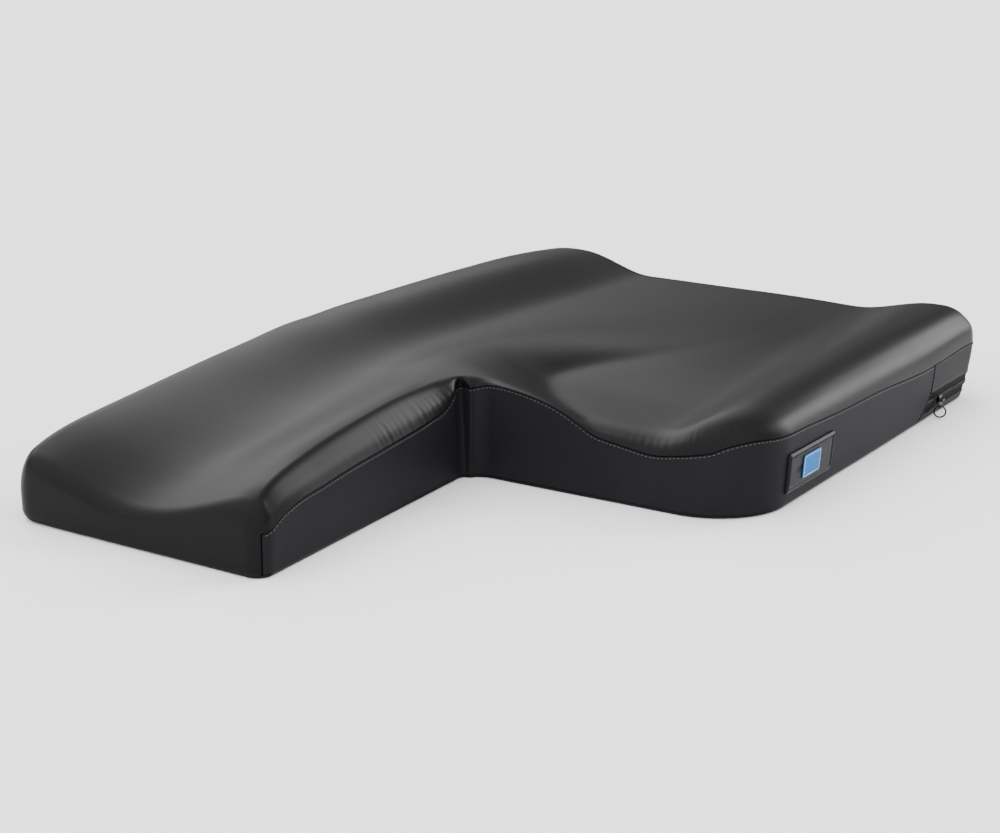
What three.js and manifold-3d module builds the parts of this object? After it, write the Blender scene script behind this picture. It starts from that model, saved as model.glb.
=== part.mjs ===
// A contoured wheelchair cushion for an amputee: a filled slab in a sewn cover, L-shaped in plan, whose long arm
// carries the stump. Millimetres, +Z up, +Y to the back, the flat base at z = 0 and the middle of the box at x = y = 0.
import * as THREE from "three";
import { mergeVertices } from "three/addons/utils/BufferGeometryUtils.js";
import Module from "manifold-3d";

// Plan of the cover at its widest, measured from the front left corner
const WIDTH = 457;
const ARM_LENGTH = 279;
const SEAT_DEPTH = 463;
const ARM_WIDTH_FRONT = 229;
const ARM_WIDTH_BACK = 207;
const LENGTH = ARM_LENGTH + SEAT_DEPTH;

// Cover: sewn sheet, its clearance to the filling, and the rolled bottom edge
const PANEL_THICKNESS = 1.4;
const CLEARANCE = 0.3;
const RECESS = PANEL_THICKNESS + CLEARANCE;
const LEDGE = 0.2;
const BOTTOM_ROLL = 2.4;
const WALL_CURVE = 1.8;
const WALL_STEPS = 3;
const ROLL_STEPS = 5;
const PANEL_LOW = BOTTOM_ROLL + LEDGE + CLEARANCE;
const PANEL_DROP = LEDGE + CLEARANCE;

// Zip round the back: where the side panels stop, its height, and the widths of its coil and tapes
const SIDE_PANEL_END = 626;
const SEAM_GAP = 0.5;
const ZIP_MIDDLE = 17;
const COIL_WIDTH = 2.8;
const COIL_PROUD = 0.7;
const TAPE_WIDTH = 6.2;
const TAPE_SUNK = 0.4;

// Slider, puller and ring at the right end of the zip
const SLIDER_Y = 645;
const SLIDER_LENGTH = 9;
const SLIDER_WIDTH = 7.6;
const SLIDER_THICKNESS = 1.6;
const BRIDGE_RISE = 3.4;
const BRIDGE_WIDTH = 2.2;
const BRIDGE_SPAN = 7;
const BRIDGE_WIRE = 1.1;
const BRIDGE_SINK = 0.2;
const TAB_THICKNESS = 0.9;
const TAB_WIDTH = 5.8;
const TAB_EYE = 1.7;
const TAB_REACH = 5.1;
const TAB_LEAN = 6;
const TAB_DROP = 0.3;
const RING_RADIUS = 5;
const RING_WIRE = 0.75;
const RING_TURN = 28;

// Patch sewn on the right panel, with its raised border, and the plain woven tab in its middle
const PATCH = { from: 337, to: 419, low: 11, high: 43.5 };
const PATCH_THICKNESS = 1.2;
const BORDER_WIDTH = 3.2;
const BORDER_RISE = 0.9;
const BORDER_SLOPE = 0.5;
const TAB = { from: 364, to: 391, low: 18, high: 36 };
const LABEL_THICKNESS = 0.8;

// Corners of the plan, anticlockwise from above, with the radius that each is rounded to
const corners = [
  { x: -8, y: 0, radius: 18 },
  { x: ARM_WIDTH_FRONT, y: 0, radius: 22 },
  { x: ARM_WIDTH_BACK, y: ARM_LENGTH, radius: 26 },
  { x: WIDTH, y: ARM_LENGTH, radius: 62 },
  { x: WIDTH, y: LENGTH, radius: 38 },
  { x: 0, y: LENGTH, radius: 40 },
];

// The rolled edge round the plan: at 0 to 6 is the side and how far along it, height and width are the roll's own,
// and undercut is how far the wall draws in at the base
const edges = [
  { at: 0.0, height: 32, width: 20, undercut: 0.5 },
  { at: 0.2, height: 14, width: 14, undercut: 0.5 },
  { at: 0.85, height: 12, width: 13, undercut: 0.5 },
  { at: 1.0, height: 14, width: 17, undercut: 1 },
  { at: 1.09, height: 17, width: 18, undercut: 1 },
  { at: 1.3, height: 25, width: 21, undercut: 1 },
  { at: 1.7, height: 25, width: 21, undercut: 1 },
  { at: 1.88, height: 22, width: 21, undercut: 1 },
  { at: 2.06, height: 13, width: 22, undercut: 0.5 },
  { at: 2.5, height: 10, width: 26, undercut: 1 },
  { at: 2.85, height: 12, width: 30, undercut: 2 },
  { at: 3.0, height: 15, width: 34, undercut: 3 },
  { at: 3.16, height: 21, width: 36, undercut: 4 },
  { at: 3.35, height: 26, width: 37, undercut: 5 },
  { at: 3.7, height: 32, width: 38, undercut: 6 },
  { at: 3.92, height: 30, width: 32, undercut: 7 },
  { at: 4.1, height: 28, width: 32, undercut: 7 },
  { at: 4.5, height: 28, width: 36, undercut: 7 },
  { at: 5.1, height: 30, width: 32, undercut: 5 },
  { at: 5.85, height: 30, width: 22, undercut: 1 },
];

// The contoured top, one row for each cross-section: y, then heights of the left rim, the stump's trough, the crest
// between the legs, the thigh's trough and the right rim, with the x of the left rim, the trough and the crest
const sections = [
  { y: -30, rim: 50, trough: 27, crest: 44, thigh: 40, right: 60, rimX: -24, troughX: 146, crestX: 206 },
  { y: 0, rim: 58, trough: 32, crest: 48, thigh: 44, right: 62, rimX: -20, troughX: 144, crestX: 206 },
  { y: 20, rim: 62, trough: 38, crest: 53, thigh: 46, right: 63, rimX: -16, troughX: 142, crestX: 204 },
  { y: 60, rim: 68, trough: 50, crest: 67, thigh: 48, right: 65, rimX: -8, troughX: 138, crestX: 200 },
  { y: 120, rim: 76, trough: 60, crest: 77, thigh: 50, right: 67, rimX: 0, troughX: 130, crestX: 196 },
  { y: 200, rim: 86, trough: 69, crest: 82, thigh: 53, right: 69, rimX: 10, troughX: 122, crestX: 192 },
  { y: 279, rim: 95, trough: 75, crest: 86, thigh: 56, right: 72, rimX: 18, troughX: 116, crestX: 190 },
  { y: 340, rim: 99, trough: 77, crest: 85, thigh: 59, right: 79, rimX: 24, troughX: 112, crestX: 196 },
  { y: 440, rim: 102, trough: 77, crest: 81, thigh: 65, right: 82, rimX: 30, troughX: 112, crestX: 214 },
  { y: 540, rim: 103, trough: 77, crest: 78, thigh: 70, right: 83, rimX: 36, troughX: 114, crestX: 232 },
  { y: 640, rim: 102, trough: 77, crest: 77, thigh: 72, right: 84, rimX: 42, troughX: 118, crestX: 236 },
  { y: 742, rim: 94, trough: 78, crest: 77, thigh: 74, right: 86, rimX: 48, troughX: 122, crestX: 236 },
  { y: 800, rim: 86, trough: 77, crest: 76, thigh: 73, right: 86, rimX: 50, troughX: 122, crestX: 236 },
];
const THIGH_X = 368;
const RIGHT_RIM_X = WIDTH - 38;

// Grid lines of the top. The first step in y is narrow, so that the side panels end cleanly at the front corners.
const GRID_X = [0, 11, 22, 34, 52, 72, 92, 112, 132, 152, 170, 185, 192, 199, 207];
const GRID_X_SEAT = [215, 224, 233, 250, 270, 290, 310, 330, 350, 370, 395, 410, 425, 441, 457];
const GRID_Y = [0, 1.2, 7, 14, 22, 40, 60, 80, 100, 120, 140, 160, 180, 200, 220, 238, 253, 261, 270, 279];
const GRID_Y_SEAT = [
  289, 300, 311, 322, 341, 362, 384, 406, 428, 450, 472, 494, 516, 538, 560, 582, 604, 626, 648, 670, 688, 700, 712,
  724, 733, LENGTH,
];

const smooth = (t) => t * t * (3 - 2 * t);
const clamp01 = (t) => Math.min(1, Math.max(0, t));

// Value of one column of a table at a place along it, carried smoothly through the rows
function alongTable(rows, key, column, at) {
  let i = 0;
  while (i < rows.length - 2 && at > rows[i + 1][key]) i += 1;
  const row = (k) => rows[Math.min(rows.length - 1, Math.max(0, k))];
  const [before, a, b, after] = [row(i - 1), row(i), row(i + 1), row(i + 2)];
  const span = b[key] - a[key];
  const slope = (p, q) => (q === p ? 0 : ((q[column] - p[column]) / (q[key] - p[key])) * span);
  const t = clamp01((at - a[key]) / span);
  const [h, g] = [smooth(t), t * (1 - t)];
  return a[column] + (b[column] - a[column]) * h
    + g * ((1 - t) * slope(before, b) - t * slope(a, after));
}

// Height of the contoured top over a point of the plan, before the edge rolls down
function topHeight(x, y) {
  const value = (column) => alongTable(sections, "y", column, y);
  const keys = [
    [value("rimX"), value("rim")],
    [value("troughX"), value("trough")],
    [value("crestX"), value("crest")],
    [THIGH_X, value("thigh")],
    [RIGHT_RIM_X, value("right")],
  ];
  const next = keys.findIndex(([keyX]) => x < keyX);
  if (next === 0) return keys[0][1];
  if (next < 0) return keys[keys.length - 1][1];
  const [[x0, z0], [x1, z1]] = [keys[next - 1], keys[next]];
  return z0 + (z1 - z0) * smooth((x - x0) / (x1 - x0));
}

// The rolled edge's own sizes at a side and how far along it
function edgeAt(at) {
  const loop = corners.length;
  const last = edges[edges.length - 1];
  const rows = [{ ...last, at: last.at - loop }, ...edges, { ...edges[0], at: loop }];
  let i = 0;
  while (i < rows.length - 2 && at > rows[i + 1].at) i += 1;
  const [a, b] = [rows[i], rows[i + 1]];
  const t = smooth(clamp01((at - a.at) / (b.at - a.at)));
  const mix = (column) => a[column] + (b[column] - a[column]) * t;
  return { height: mix("height"), width: mix("width"), undercut: mix("undercut") };
}

// One corner's rounding: where its arc starts, its turn and its centre
function rounding(index) {
  const count = corners.length;
  const [p, v, q] = [-1, 0, 1].map((k) => corners[(index + k + count) % count]);
  const before = new THREE.Vector2(v.x - p.x, v.y - p.y).normalize();
  const after = new THREE.Vector2(q.x - v.x, q.y - v.y).normalize();
  const turn = Math.atan2(before.cross(after), before.dot(after));
  const tangent = v.radius * Math.tan(Math.abs(turn) / 2);
  const inward = new THREE.Vector2(-before.y, before.x);
  const start = new THREE.Vector2(v.x, v.y).addScaledVector(before, -tangent);
  const centre = start.clone().addScaledVector(inward, v.radius * Math.sign(turn));
  return { turn, tangent, inward, centre, radius: v.radius };
}
const roundings = corners.map((_, index) => rounding(index));

// Point of the rounded outline and its outward direction, on a side at a distance from that side's sharp start
function outline(side, distance) {
  const [a, b] = [corners[side], corners[(side + 1) % corners.length]];
  const direction = new THREE.Vector2(b.x - a.x, b.y - a.y);
  const length = direction.length();
  direction.divideScalar(length);
  const [first, last] = [roundings[side], roundings[(side + 1) % corners.length]];
  const onArc = (arc, part) => {
    const out = arc.inward.clone().negate().rotateAround(new THREE.Vector2(), arc.turn * part);
    return { point: arc.centre.clone().addScaledVector(out, arc.radius * Math.sign(arc.turn)), out };
  };
  let found = {
    point: new THREE.Vector2(a.x, a.y).addScaledVector(direction, distance),
    out: new THREE.Vector2(direction.y, -direction.x),
  };
  if (distance < first.tangent) found = onArc(first, 0.5 + (0.5 * distance) / first.tangent);
  if (length - distance < last.tangent) found = onArc(last, 0.5 - (0.5 * (length - distance)) / last.tangent);
  return { ...found, ...edgeAt(side + distance / length), at: side + distance / length };
}

// Height of the seam that joins the top to a side panel
const seamHeight = (s) => topHeight(s.point.x, s.point.y) - s.height;

// How far a wall of the given seam height is drawn in at height z
const drawnIn = (s, seam, z) => s.undercut * (1 - clamp01(z / seam)) ** WALL_CURVE;

// A point on the wall, moved outwards by out
function wallPoint(s, z, out = 0) {
  const step = out - drawnIn(s, seamHeight(s), z);
  return [s.point.x + s.out.x * step, s.point.y + s.out.y * step, z];
}

// A point on the rolled edge, from the seam (part 0) to the top (part 1)
function rollPoint(s, part) {
  const angle = (part * Math.PI) / 2;
  const inset = s.width * (1 - Math.cos(angle));
  const [x, y] = [s.point.x - s.out.x * inset, s.point.y - s.out.y * inset];
  return [x, y, topHeight(x, y) - s.height * (1 - Math.sin(angle))];
}

// A closed geometry from points and quads or triangles of their indices
function closedGeometry(points, faces) {
  const index = faces.flatMap((f) => (f.length === 4 ? [f[0], f[1], f[2], f[0], f[2], f[3]] : f));
  const geometry = new THREE.BufferGeometry();
  geometry.setAttribute("position", new THREE.Float32BufferAttribute(points.flat(), 3));
  geometry.setIndex(index);
  const merged = mergeVertices(geometry, 1e-4);
  merged.computeVertexNormals();
  return merged;
}

// Boundary of the L-shaped grid, anticlockwise: each station's grid place, side and distance along that side
function boundaryStations(gridX, gridY, armX, armY) {
  const [lastX, lastY] = [gridX.length - 1, gridY.length - 1];
  const run = (from, to) => Array.from({ length: Math.abs(to - from) }, (_, k) => from + k * Math.sign(to - from));
  const slant = Math.hypot(ARM_WIDTH_FRONT - ARM_WIDTH_BACK, ARM_LENGTH) / ARM_LENGTH;
  const widen = ARM_WIDTH_FRONT / ARM_WIDTH_BACK;
  return [
    ...run(0, armX).map((i) => ({ i, j: 0, side: 0, distance: gridX[i] * widen })),
    ...run(0, armY).map((j) => ({ i: armX, j, side: 1, distance: gridY[j] * slant })),
    ...run(armX, lastX).map((i) => ({ i, j: armY, side: 2, distance: gridX[i] - ARM_WIDTH_BACK })),
    ...run(armY, lastY).map((j) => ({ i: lastX, j, side: 3, distance: gridY[j] - ARM_LENGTH })),
    ...run(lastX, 0).map((i) => ({ i, j: lastY, side: 4, distance: WIDTH - gridX[i] })),
    ...run(lastY, 0).map((j) => ({ i: 0, j, side: 5, distance: LENGTH - gridY[j] })),
  ];
}

// The filled cushion: flat base, recessed walls behind the sewn panels, rolled edge and contoured top in one solid
function filledCushion() {
  const gridX = [...GRID_X, ...GRID_X_SEAT];
  const gridY = [...GRID_Y, ...GRID_Y_SEAT];
  const [armX, armY] = [GRID_X.length - 1, GRID_Y.length - 1];
  const stations = boundaryStations(gridX, gridY, armX, armY);
  const places = stations.map((s) => outline(s.side, s.distance));
  const recessed = stations.map((s) => (hasPanel(s) ? RECESS : 0));
  const points = [];
  const faces = [];
  const ring = (pointOf) => {
    const start = points.length;
    places.forEach((place, k) => points.push(pointOf(place, recessed[k])));
    return places.map((_, k) => start + k);
  };

  const rings = [
    ring((s) => wallPoint(s, 0, -BOTTOM_ROLL)),
    ring((s) => wallPoint(s, BOTTOM_ROLL)),
    ring((s, recess) => wallPoint(s, BOTTOM_ROLL + LEDGE, -recess)),
  ];
  for (let step = 1; step < WALL_STEPS; step += 1) {
    rings.push(ring((s, recess) => wallPoint(s, (seamHeight(s) * step) / WALL_STEPS, -recess)));
  }
  rings.push(ring((s, recess) => wallPoint(s, seamHeight(s) - LEDGE, -recess)));
  for (let step = 0; step <= ROLL_STEPS; step += 1) {
    rings.push(ring((s) => rollPoint(s, step / ROLL_STEPS)));
  }
  for (let r = 0; r + 1 < rings.length; r += 1) {
    places.forEach((_, k) => {
      const next = (k + 1) % places.length;
      faces.push([rings[r][k], rings[r][next], rings[r + 1][next], rings[r + 1][k]]);
    });
  }

  const base = rings[0].map((k) => new THREE.Vector2(points[k][0], points[k][1]));
  THREE.ShapeUtils.triangulateShape(base, []).forEach(([a, b, c]) => faces.push([a, c, b]));
  addTopGrid(points, faces, gridX, gridY, armX, armY, stations, rings[rings.length - 1]);
  return closedGeometry(points, faces);
}

// Fills the inside of the roll with the contoured top. Each grid point moves off its square place by the shift of
// the boundary at the ends of its row and column, the nearer pair counting for more.
function addTopGrid(points, faces, gridX, gridY, armX, armY, stations, rim) {
  const inside = (i, j) => i <= armX || j >= armY;
  const at = new Map();
  const key = (i, j) => i * gridY.length + j;
  stations.forEach((s, k) => at.set(key(s.i, s.j), rim[k]));
  const shift = (i, j) => {
    const p = points[at.get(key(i, j))];
    return [p[0] - gridX[i], p[1] - gridY[j]];
  };
  const between = (low, high, place, lowShift, highShift) => {
    const t = (place - low) / (high - low);
    return {
      near: 1 / Math.min(place - low, high - place),
      value: [0, 1].map((c) => lowShift[c] * (1 - t) + highShift[c] * t),
    };
  };
  for (let i = 1; i < gridX.length - 1; i += 1) {
    for (let j = 1; j < gridY.length - 1; j += 1) {
      if (!inside(i, j) || at.has(key(i, j))) continue;
      const right = j < armY ? armX : gridX.length - 1;
      const low = i > armX ? armY : 0;
      const row = between(gridX[0], gridX[right], gridX[i], shift(0, j), shift(right, j));
      const column = between(gridY[low], gridY[gridY.length - 1], gridY[j], shift(i, low), shift(i, gridY.length - 1));
      const total = row.near + column.near;
      const [x, y] = [gridX[i], gridY[j]].map(
        (place, c) => place + (row.near * row.value[c] + column.near * column.value[c]) / total,
      );
      at.set(key(i, j), points.length);
      points.push([x, y, topHeight(x, y)]);
    }
  }
  for (let i = 0; i + 1 < gridX.length; i += 1) {
    for (let j = 0; j + 1 < gridY.length; j += 1) {
      if (!inside(i + 1, j)) continue;
      faces.push([[i, j], [i + 1, j], [i + 1, j + 1], [i, j + 1]].map(([a, b]) => at.get(key(a, b))));
    }
  }
}

// Whether a sewn side or back panel covers the wall at a station. The top itself wraps down over the front.
function hasPanel(s) {
  if (s.side === 0) return false;
  if (s.side === 1) return s.distance > 1;
  return s.side !== 5 || s.distance < LENGTH - 1;
}

// Stations of the cushion's own outline between two places, each a side and a distance, with those places added
function stationsBetween(from, to) {
  const gridX = [...GRID_X, ...GRID_X_SEAT];
  const gridY = [...GRID_Y, ...GRID_Y_SEAT];
  const all = boundaryStations(gridX, gridY, GRID_X.length - 1, GRID_Y.length - 1);
  const after = (s, t) => s.side > t.side || (s.side === t.side && s.distance > t.distance + 0.6);
  const inner = all.filter((s) => after(s, from) && after(to, s));
  return [from, ...inner, to].map((s) => outline(s.side, s.distance));
}

// A sewn strip on the wall: a closed sheet between two heights and two distances out from the wall's own surface.
// Heights are functions of the station, and rise is a further distance out at a place in the strip, 0 to 1 each way.
function wallStrip(places, low, high, inner, outer, parts = [0, 1], rise = () => 0) {
  const points = [];
  const faces = [];
  const [rows, columns] = [parts.length, places.length];
  const height = (s, part) => low(s) + (high(s) - low(s)) * part;
  places.forEach((s, c) => parts.forEach((part, r) => {
    points.push(wallPoint(s, height(s, part), outer + rise(c, r)));
  }));
  places.forEach((s) => parts.forEach((part) => points.push(wallPoint(s, height(s, part), inner))));
  const out = (c, r) => c * rows + r;
  const back = (c, r) => columns * rows + c * rows + r;
  for (let c = 0; c + 1 < columns; c += 1) {
    for (let r = 0; r + 1 < rows; r += 1) {
      faces.push([out(c, r), out(c + 1, r), out(c + 1, r + 1), out(c, r + 1)]);
      faces.push([back(c, r), back(c, r + 1), back(c + 1, r + 1), back(c + 1, r)]);
    }
    faces.push([out(c, 0), back(c, 0), back(c + 1, 0), out(c + 1, 0)]);
    faces.push([out(c, rows - 1), out(c + 1, rows - 1), back(c + 1, rows - 1), back(c, rows - 1)]);
  }
  for (let r = 0; r + 1 < rows; r += 1) {
    faces.push([out(0, r), out(0, r + 1), back(0, r + 1), back(0, r)]);
    faces.push([out(columns - 1, r), back(columns - 1, r), back(columns - 1, r + 1), out(columns - 1, r + 1)]);
  }
  return closedGeometry(points, faces);
}

const fixed = (height) => () => height;
const underSeam = (s) => seamHeight(s) - PANEL_DROP;
const evenParts = (count) => Array.from({ length: count + 1 }, (_, k) => k / count);

// The side panels, one from the front right corner round the inner corner to the zip, one along the left side
function sidePanels() {
  const slant = Math.hypot(ARM_WIDTH_FRONT - ARM_WIDTH_BACK, ARM_LENGTH) / ARM_LENGTH;
  const first = { side: 1, distance: GRID_Y[1] * slant + CLEARANCE };
  const rightEnd = { side: 3, distance: SIDE_PANEL_END - ARM_LENGTH };
  const leftEnd = { side: 5, distance: LENGTH - SIDE_PANEL_END };
  const last = { side: 5, distance: LENGTH - GRID_Y[1] - CLEARANCE };
  const panel = (from, to) => wallStrip(
    stationsBetween(from, to), fixed(PANEL_LOW), underSeam, -PANEL_THICKNESS, 0, evenParts(WALL_STEPS),
  );
  return { right: panel(first, rightEnd), left: panel(leftEnd, last) };
}

// The back band between the side panels: cover above the zip, two tapes, the closed coil, and cover below
function backBand() {
  const places = stationsBetween(
    { side: 3, distance: SIDE_PANEL_END - ARM_LENGTH + SEAM_GAP },
    { side: 5, distance: LENGTH - SIDE_PANEL_END - SEAM_GAP },
  );
  const half = COIL_WIDTH / 2;
  const tapeIn = half + CLEARANCE;
  const tapeOut = tapeIn + TAPE_WIDTH;
  const coverEdge = tapeOut + CLEARANCE;
  const band = (low, high, inner, outer, parts) => (
    wallStrip(places, fixed(low), typeof high === "number" ? fixed(high) : high, inner, outer, parts)
  );
  const back = -PANEL_THICKNESS;
  return {
    above: band(ZIP_MIDDLE + coverEdge, underSeam, back, 0, evenParts(2)),
    tapeAbove: band(ZIP_MIDDLE + tapeIn, ZIP_MIDDLE + tapeOut, back, -TAPE_SUNK),
    coil: band(ZIP_MIDDLE - half, ZIP_MIDDLE + half, back, COIL_PROUD),
    tapeBelow: band(ZIP_MIDDLE - tapeOut, ZIP_MIDDLE - tapeIn, back, -TAPE_SUNK),
    below: band(PANEL_LOW, ZIP_MIDDLE - coverEdge, back, 0),
  };
}

// The patch on the right panel with its raised border frame
function labelPatch() {
  const steps = (from, to) => [
    0, BORDER_WIDTH, BORDER_WIDTH + BORDER_SLOPE,
    to - from - BORDER_WIDTH - BORDER_SLOPE, to - from - BORDER_WIDTH, to - from,
  ];
  const across = steps(PATCH.from, PATCH.to);
  const up = steps(PATCH.low, PATCH.high).map((step) => step / (PATCH.high - PATCH.low));
  const places = across.map((step) => outline(3, PATCH.from - ARM_LENGTH + step));
  const onBorder = (k, count) => k < 2 || k > count - 3;
  const rise = (c, r) => (onBorder(c, across.length) || onBorder(r, up.length) ? BORDER_RISE : 0);
  const outer = CLEARANCE + PATCH_THICKNESS;
  return wallStrip(places, fixed(PATCH.low), fixed(PATCH.high), CLEARANCE, outer, up, rise);
}

// The plain woven tab in the middle of the patch
function labelTab() {
  const places = evenParts(4).map((part) => outline(3, TAB.from - ARM_LENGTH + (TAB.to - TAB.from) * part));
  const inner = PATCH_THICKNESS + 2 * CLEARANCE;
  return wallStrip(places, fixed(TAB.low), fixed(TAB.high), inner, inner + LABEL_THICKNESS, evenParts(4));
}

// A rectangle with rounded corners, centred on the origin
function roundedRectangle(width, height, radius) {
  const [w, h] = [width / 2, height / 2];
  const shape = new THREE.Shape();
  shape.absarc(w - radius, h - radius, radius, 0, Math.PI / 2);
  shape.absarc(-w + radius, h - radius, radius, Math.PI / 2, Math.PI);
  shape.absarc(-w + radius, -h + radius, radius, Math.PI, 1.5 * Math.PI);
  shape.absarc(w - radius, -h + radius, radius, 1.5 * Math.PI, 2 * Math.PI);
  return shape;
}

const wasm = await Module();
wasm.setup();

// The join of two closed geometries
function joined(first, second) {
  const solid = (geometry) => {
    const bare = geometry.clone();
    ["normal", "uv"].forEach((name) => bare.deleteAttribute(name));
    const merged = mergeVertices(bare, 1e-4);
    return new wasm.Manifold(new wasm.Mesh({
      numProp: 3,
      vertProperties: merged.attributes.position.array,
      triVerts: new Uint32Array(merged.index.array),
    }));
  };
  const mesh = solid(first).add(solid(second)).getMesh();
  const geometry = new THREE.BufferGeometry();
  geometry.setAttribute("position", new THREE.Float32BufferAttribute(mesh.vertProperties, 3));
  geometry.setIndex([...mesh.triVerts]);
  geometry.computeVertexNormals();
  return geometry;
}

// The slider in its own axes: x along the zip, y across it, z out from the wall, its back at z = 0
function sliderBody() {
  const plate = new THREE.ExtrudeGeometry(roundedRectangle(SLIDER_LENGTH, SLIDER_WIDTH, 2), {
    depth: SLIDER_THICKNESS, bevelEnabled: false, curveSegments: 3,
  });
  const [half, inner] = [BRIDGE_SPAN / 2, BRIDGE_SPAN / 2 - BRIDGE_WIRE];
  const bend = BRIDGE_WIRE + 0.5;
  const arch = new THREE.Shape();
  arch.moveTo(half, -BRIDGE_SINK);
  arch.absarc(half - bend, BRIDGE_RISE - bend, bend, 0, Math.PI / 2);
  arch.absarc(bend - half, BRIDGE_RISE - bend, bend, Math.PI / 2, Math.PI);
  arch.lineTo(-half, -BRIDGE_SINK);
  arch.lineTo(-inner, -BRIDGE_SINK);
  arch.absarc(bend - half, BRIDGE_RISE - bend, bend - BRIDGE_WIRE, Math.PI, Math.PI / 2, true);
  arch.absarc(half - bend, BRIDGE_RISE - bend, bend - BRIDGE_WIRE, Math.PI / 2, 0, true);
  arch.lineTo(inner, -BRIDGE_SINK);
  const bridge = new THREE.ExtrudeGeometry(arch, { depth: BRIDGE_WIDTH, bevelEnabled: false, curveSegments: 3 });
  bridge.translate(0, 0, -BRIDGE_WIDTH / 2).rotateX(Math.PI / 2).translate(0, 0, SLIDER_THICKNESS);
  return joined(plate, bridge);
}

// The puller: a flat tab with an eye at each end, hanging along -y of its own axes from its upper eye
function pullTab() {
  const half = TAB_WIDTH / 2;
  const shape = new THREE.Shape();
  shape.absarc(0, 0, half, 0, Math.PI);
  shape.absarc(0, -TAB_REACH, half, Math.PI, 2 * Math.PI);
  [0, -TAB_REACH].forEach((y) => shape.holes.push(new THREE.Path().absarc(0, y, TAB_EYE, 0, 2 * Math.PI)));
  const geometry = new THREE.ExtrudeGeometry(shape, { depth: TAB_THICKNESS, bevelEnabled: false, curveSegments: 8 });
  return geometry.translate(0, 0, -TAB_THICKNESS / 2);
}

const cover = new THREE.MeshStandardMaterial({ color: 0x2b2b2d, roughness: 0.45, metalness: 0 });
const panelCloth = new THREE.MeshStandardMaterial({ color: 0x303033, roughness: 0.5, metalness: 0 });
const tapeCloth = new THREE.MeshStandardMaterial({ color: 0x151517, roughness: 0.85, metalness: 0 });
const nylon = new THREE.MeshStandardMaterial({ color: 0x101012, roughness: 0.5, metalness: 0 });
const blackMetal = new THREE.MeshStandardMaterial({ color: 0x1c1c1f, roughness: 0.35, metalness: 0.9 });
const ringMetal = new THREE.MeshStandardMaterial({ color: 0x5a5a5e, roughness: 0.3, metalness: 1 });
const wovenBlue = new THREE.MeshStandardMaterial({ color: 0x4a90cf, roughness: 0.8, metalness: 0 });

function part(name, geometry, material) {
  const mesh = new THREE.Mesh(geometry, material);
  mesh.name = name;
  return mesh;
}

// Turns a mesh so that its own x and y axes point along two given ones
function turned(mesh, axisX, axisY) {
  const basis = new THREE.Matrix4().makeBasis(axisX, axisY, axisX.clone().cross(axisY));
  mesh.quaternion.setFromRotationMatrix(basis);
  return mesh;
}

// The slider lies on the coil. The puller's upper eye is round the bridge's front leg, and the ring hangs from its
// lower eye, turned towards the front.
function placedSlider() {
  const place = outline(3, SLIDER_Y - ARM_LENGTH);
  const [x, y, z] = wallPoint(place, ZIP_MIDDLE, COIL_PROUD + CLEARANCE);
  const [alongZip, upright] = [new THREE.Vector3(0, 1, 0), new THREE.Vector3(0, 0, 1)];
  const slider = turned(part("zip_slider", sliderBody(), blackMetal), alongZip, upright);
  slider.position.set(x, y, z);

  const lean = THREE.MathUtils.degToRad(TAB_LEAN);
  const upTab = new THREE.Vector3(-Math.sin(lean), 0, Math.cos(lean));
  const tab = turned(part("zip_pull_tab", pullTab(), blackMetal), alongZip, upTab);
  const legOffset = (BRIDGE_SPAN - BRIDGE_WIRE) / 2;
  tab.position.set(x + SLIDER_THICKNESS + (BRIDGE_RISE - BRIDGE_WIRE) / 2, y - legOffset, z - TAB_DROP);

  const turn = THREE.MathUtils.degToRad(RING_TURN);
  const outward = new THREE.Vector3(Math.cos(turn), Math.sin(turn), 0);
  const torus = new THREE.TorusGeometry(RING_RADIUS, RING_WIRE, 8, 28);
  const ring = turned(part("zip_pull_ring", torus, ringMetal), outward, upright);
  ring.position.copy(tab.position).addScaledVector(upTab, -TAB_REACH).addScaledVector(upright, -RING_RADIUS);
  return [slider, tab, ring];
}

const panels = sidePanels();
const band = backBand();
const cushion = new THREE.Group();
cushion.add(
  part("cushion", filledCushion(), cover),
  part("boxing_right", panels.right, panelCloth),
  part("boxing_left", panels.left, panelCloth),
  part("rear_boxing_upper", band.above, panelCloth),
  part("rear_boxing_lower", band.below, panelCloth),
  part("zip_tape_upper", band.tapeAbove, tapeCloth),
  part("zip_tape_lower", band.tapeBelow, tapeCloth),
  part("zip_coil", band.coil, nylon),
  part("label_patch", labelPatch(), panelCloth),
  part("label_tab", labelTab(), wovenBlue),
  ...placedSlider(),
);

const box = new THREE.Box3().setFromObject(cushion);
cushion.position.set(-(box.min.x + box.max.x) / 2, -(box.min.y + box.max.y) / 2, -box.min.z);

export default cushion;
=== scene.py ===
import math

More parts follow.
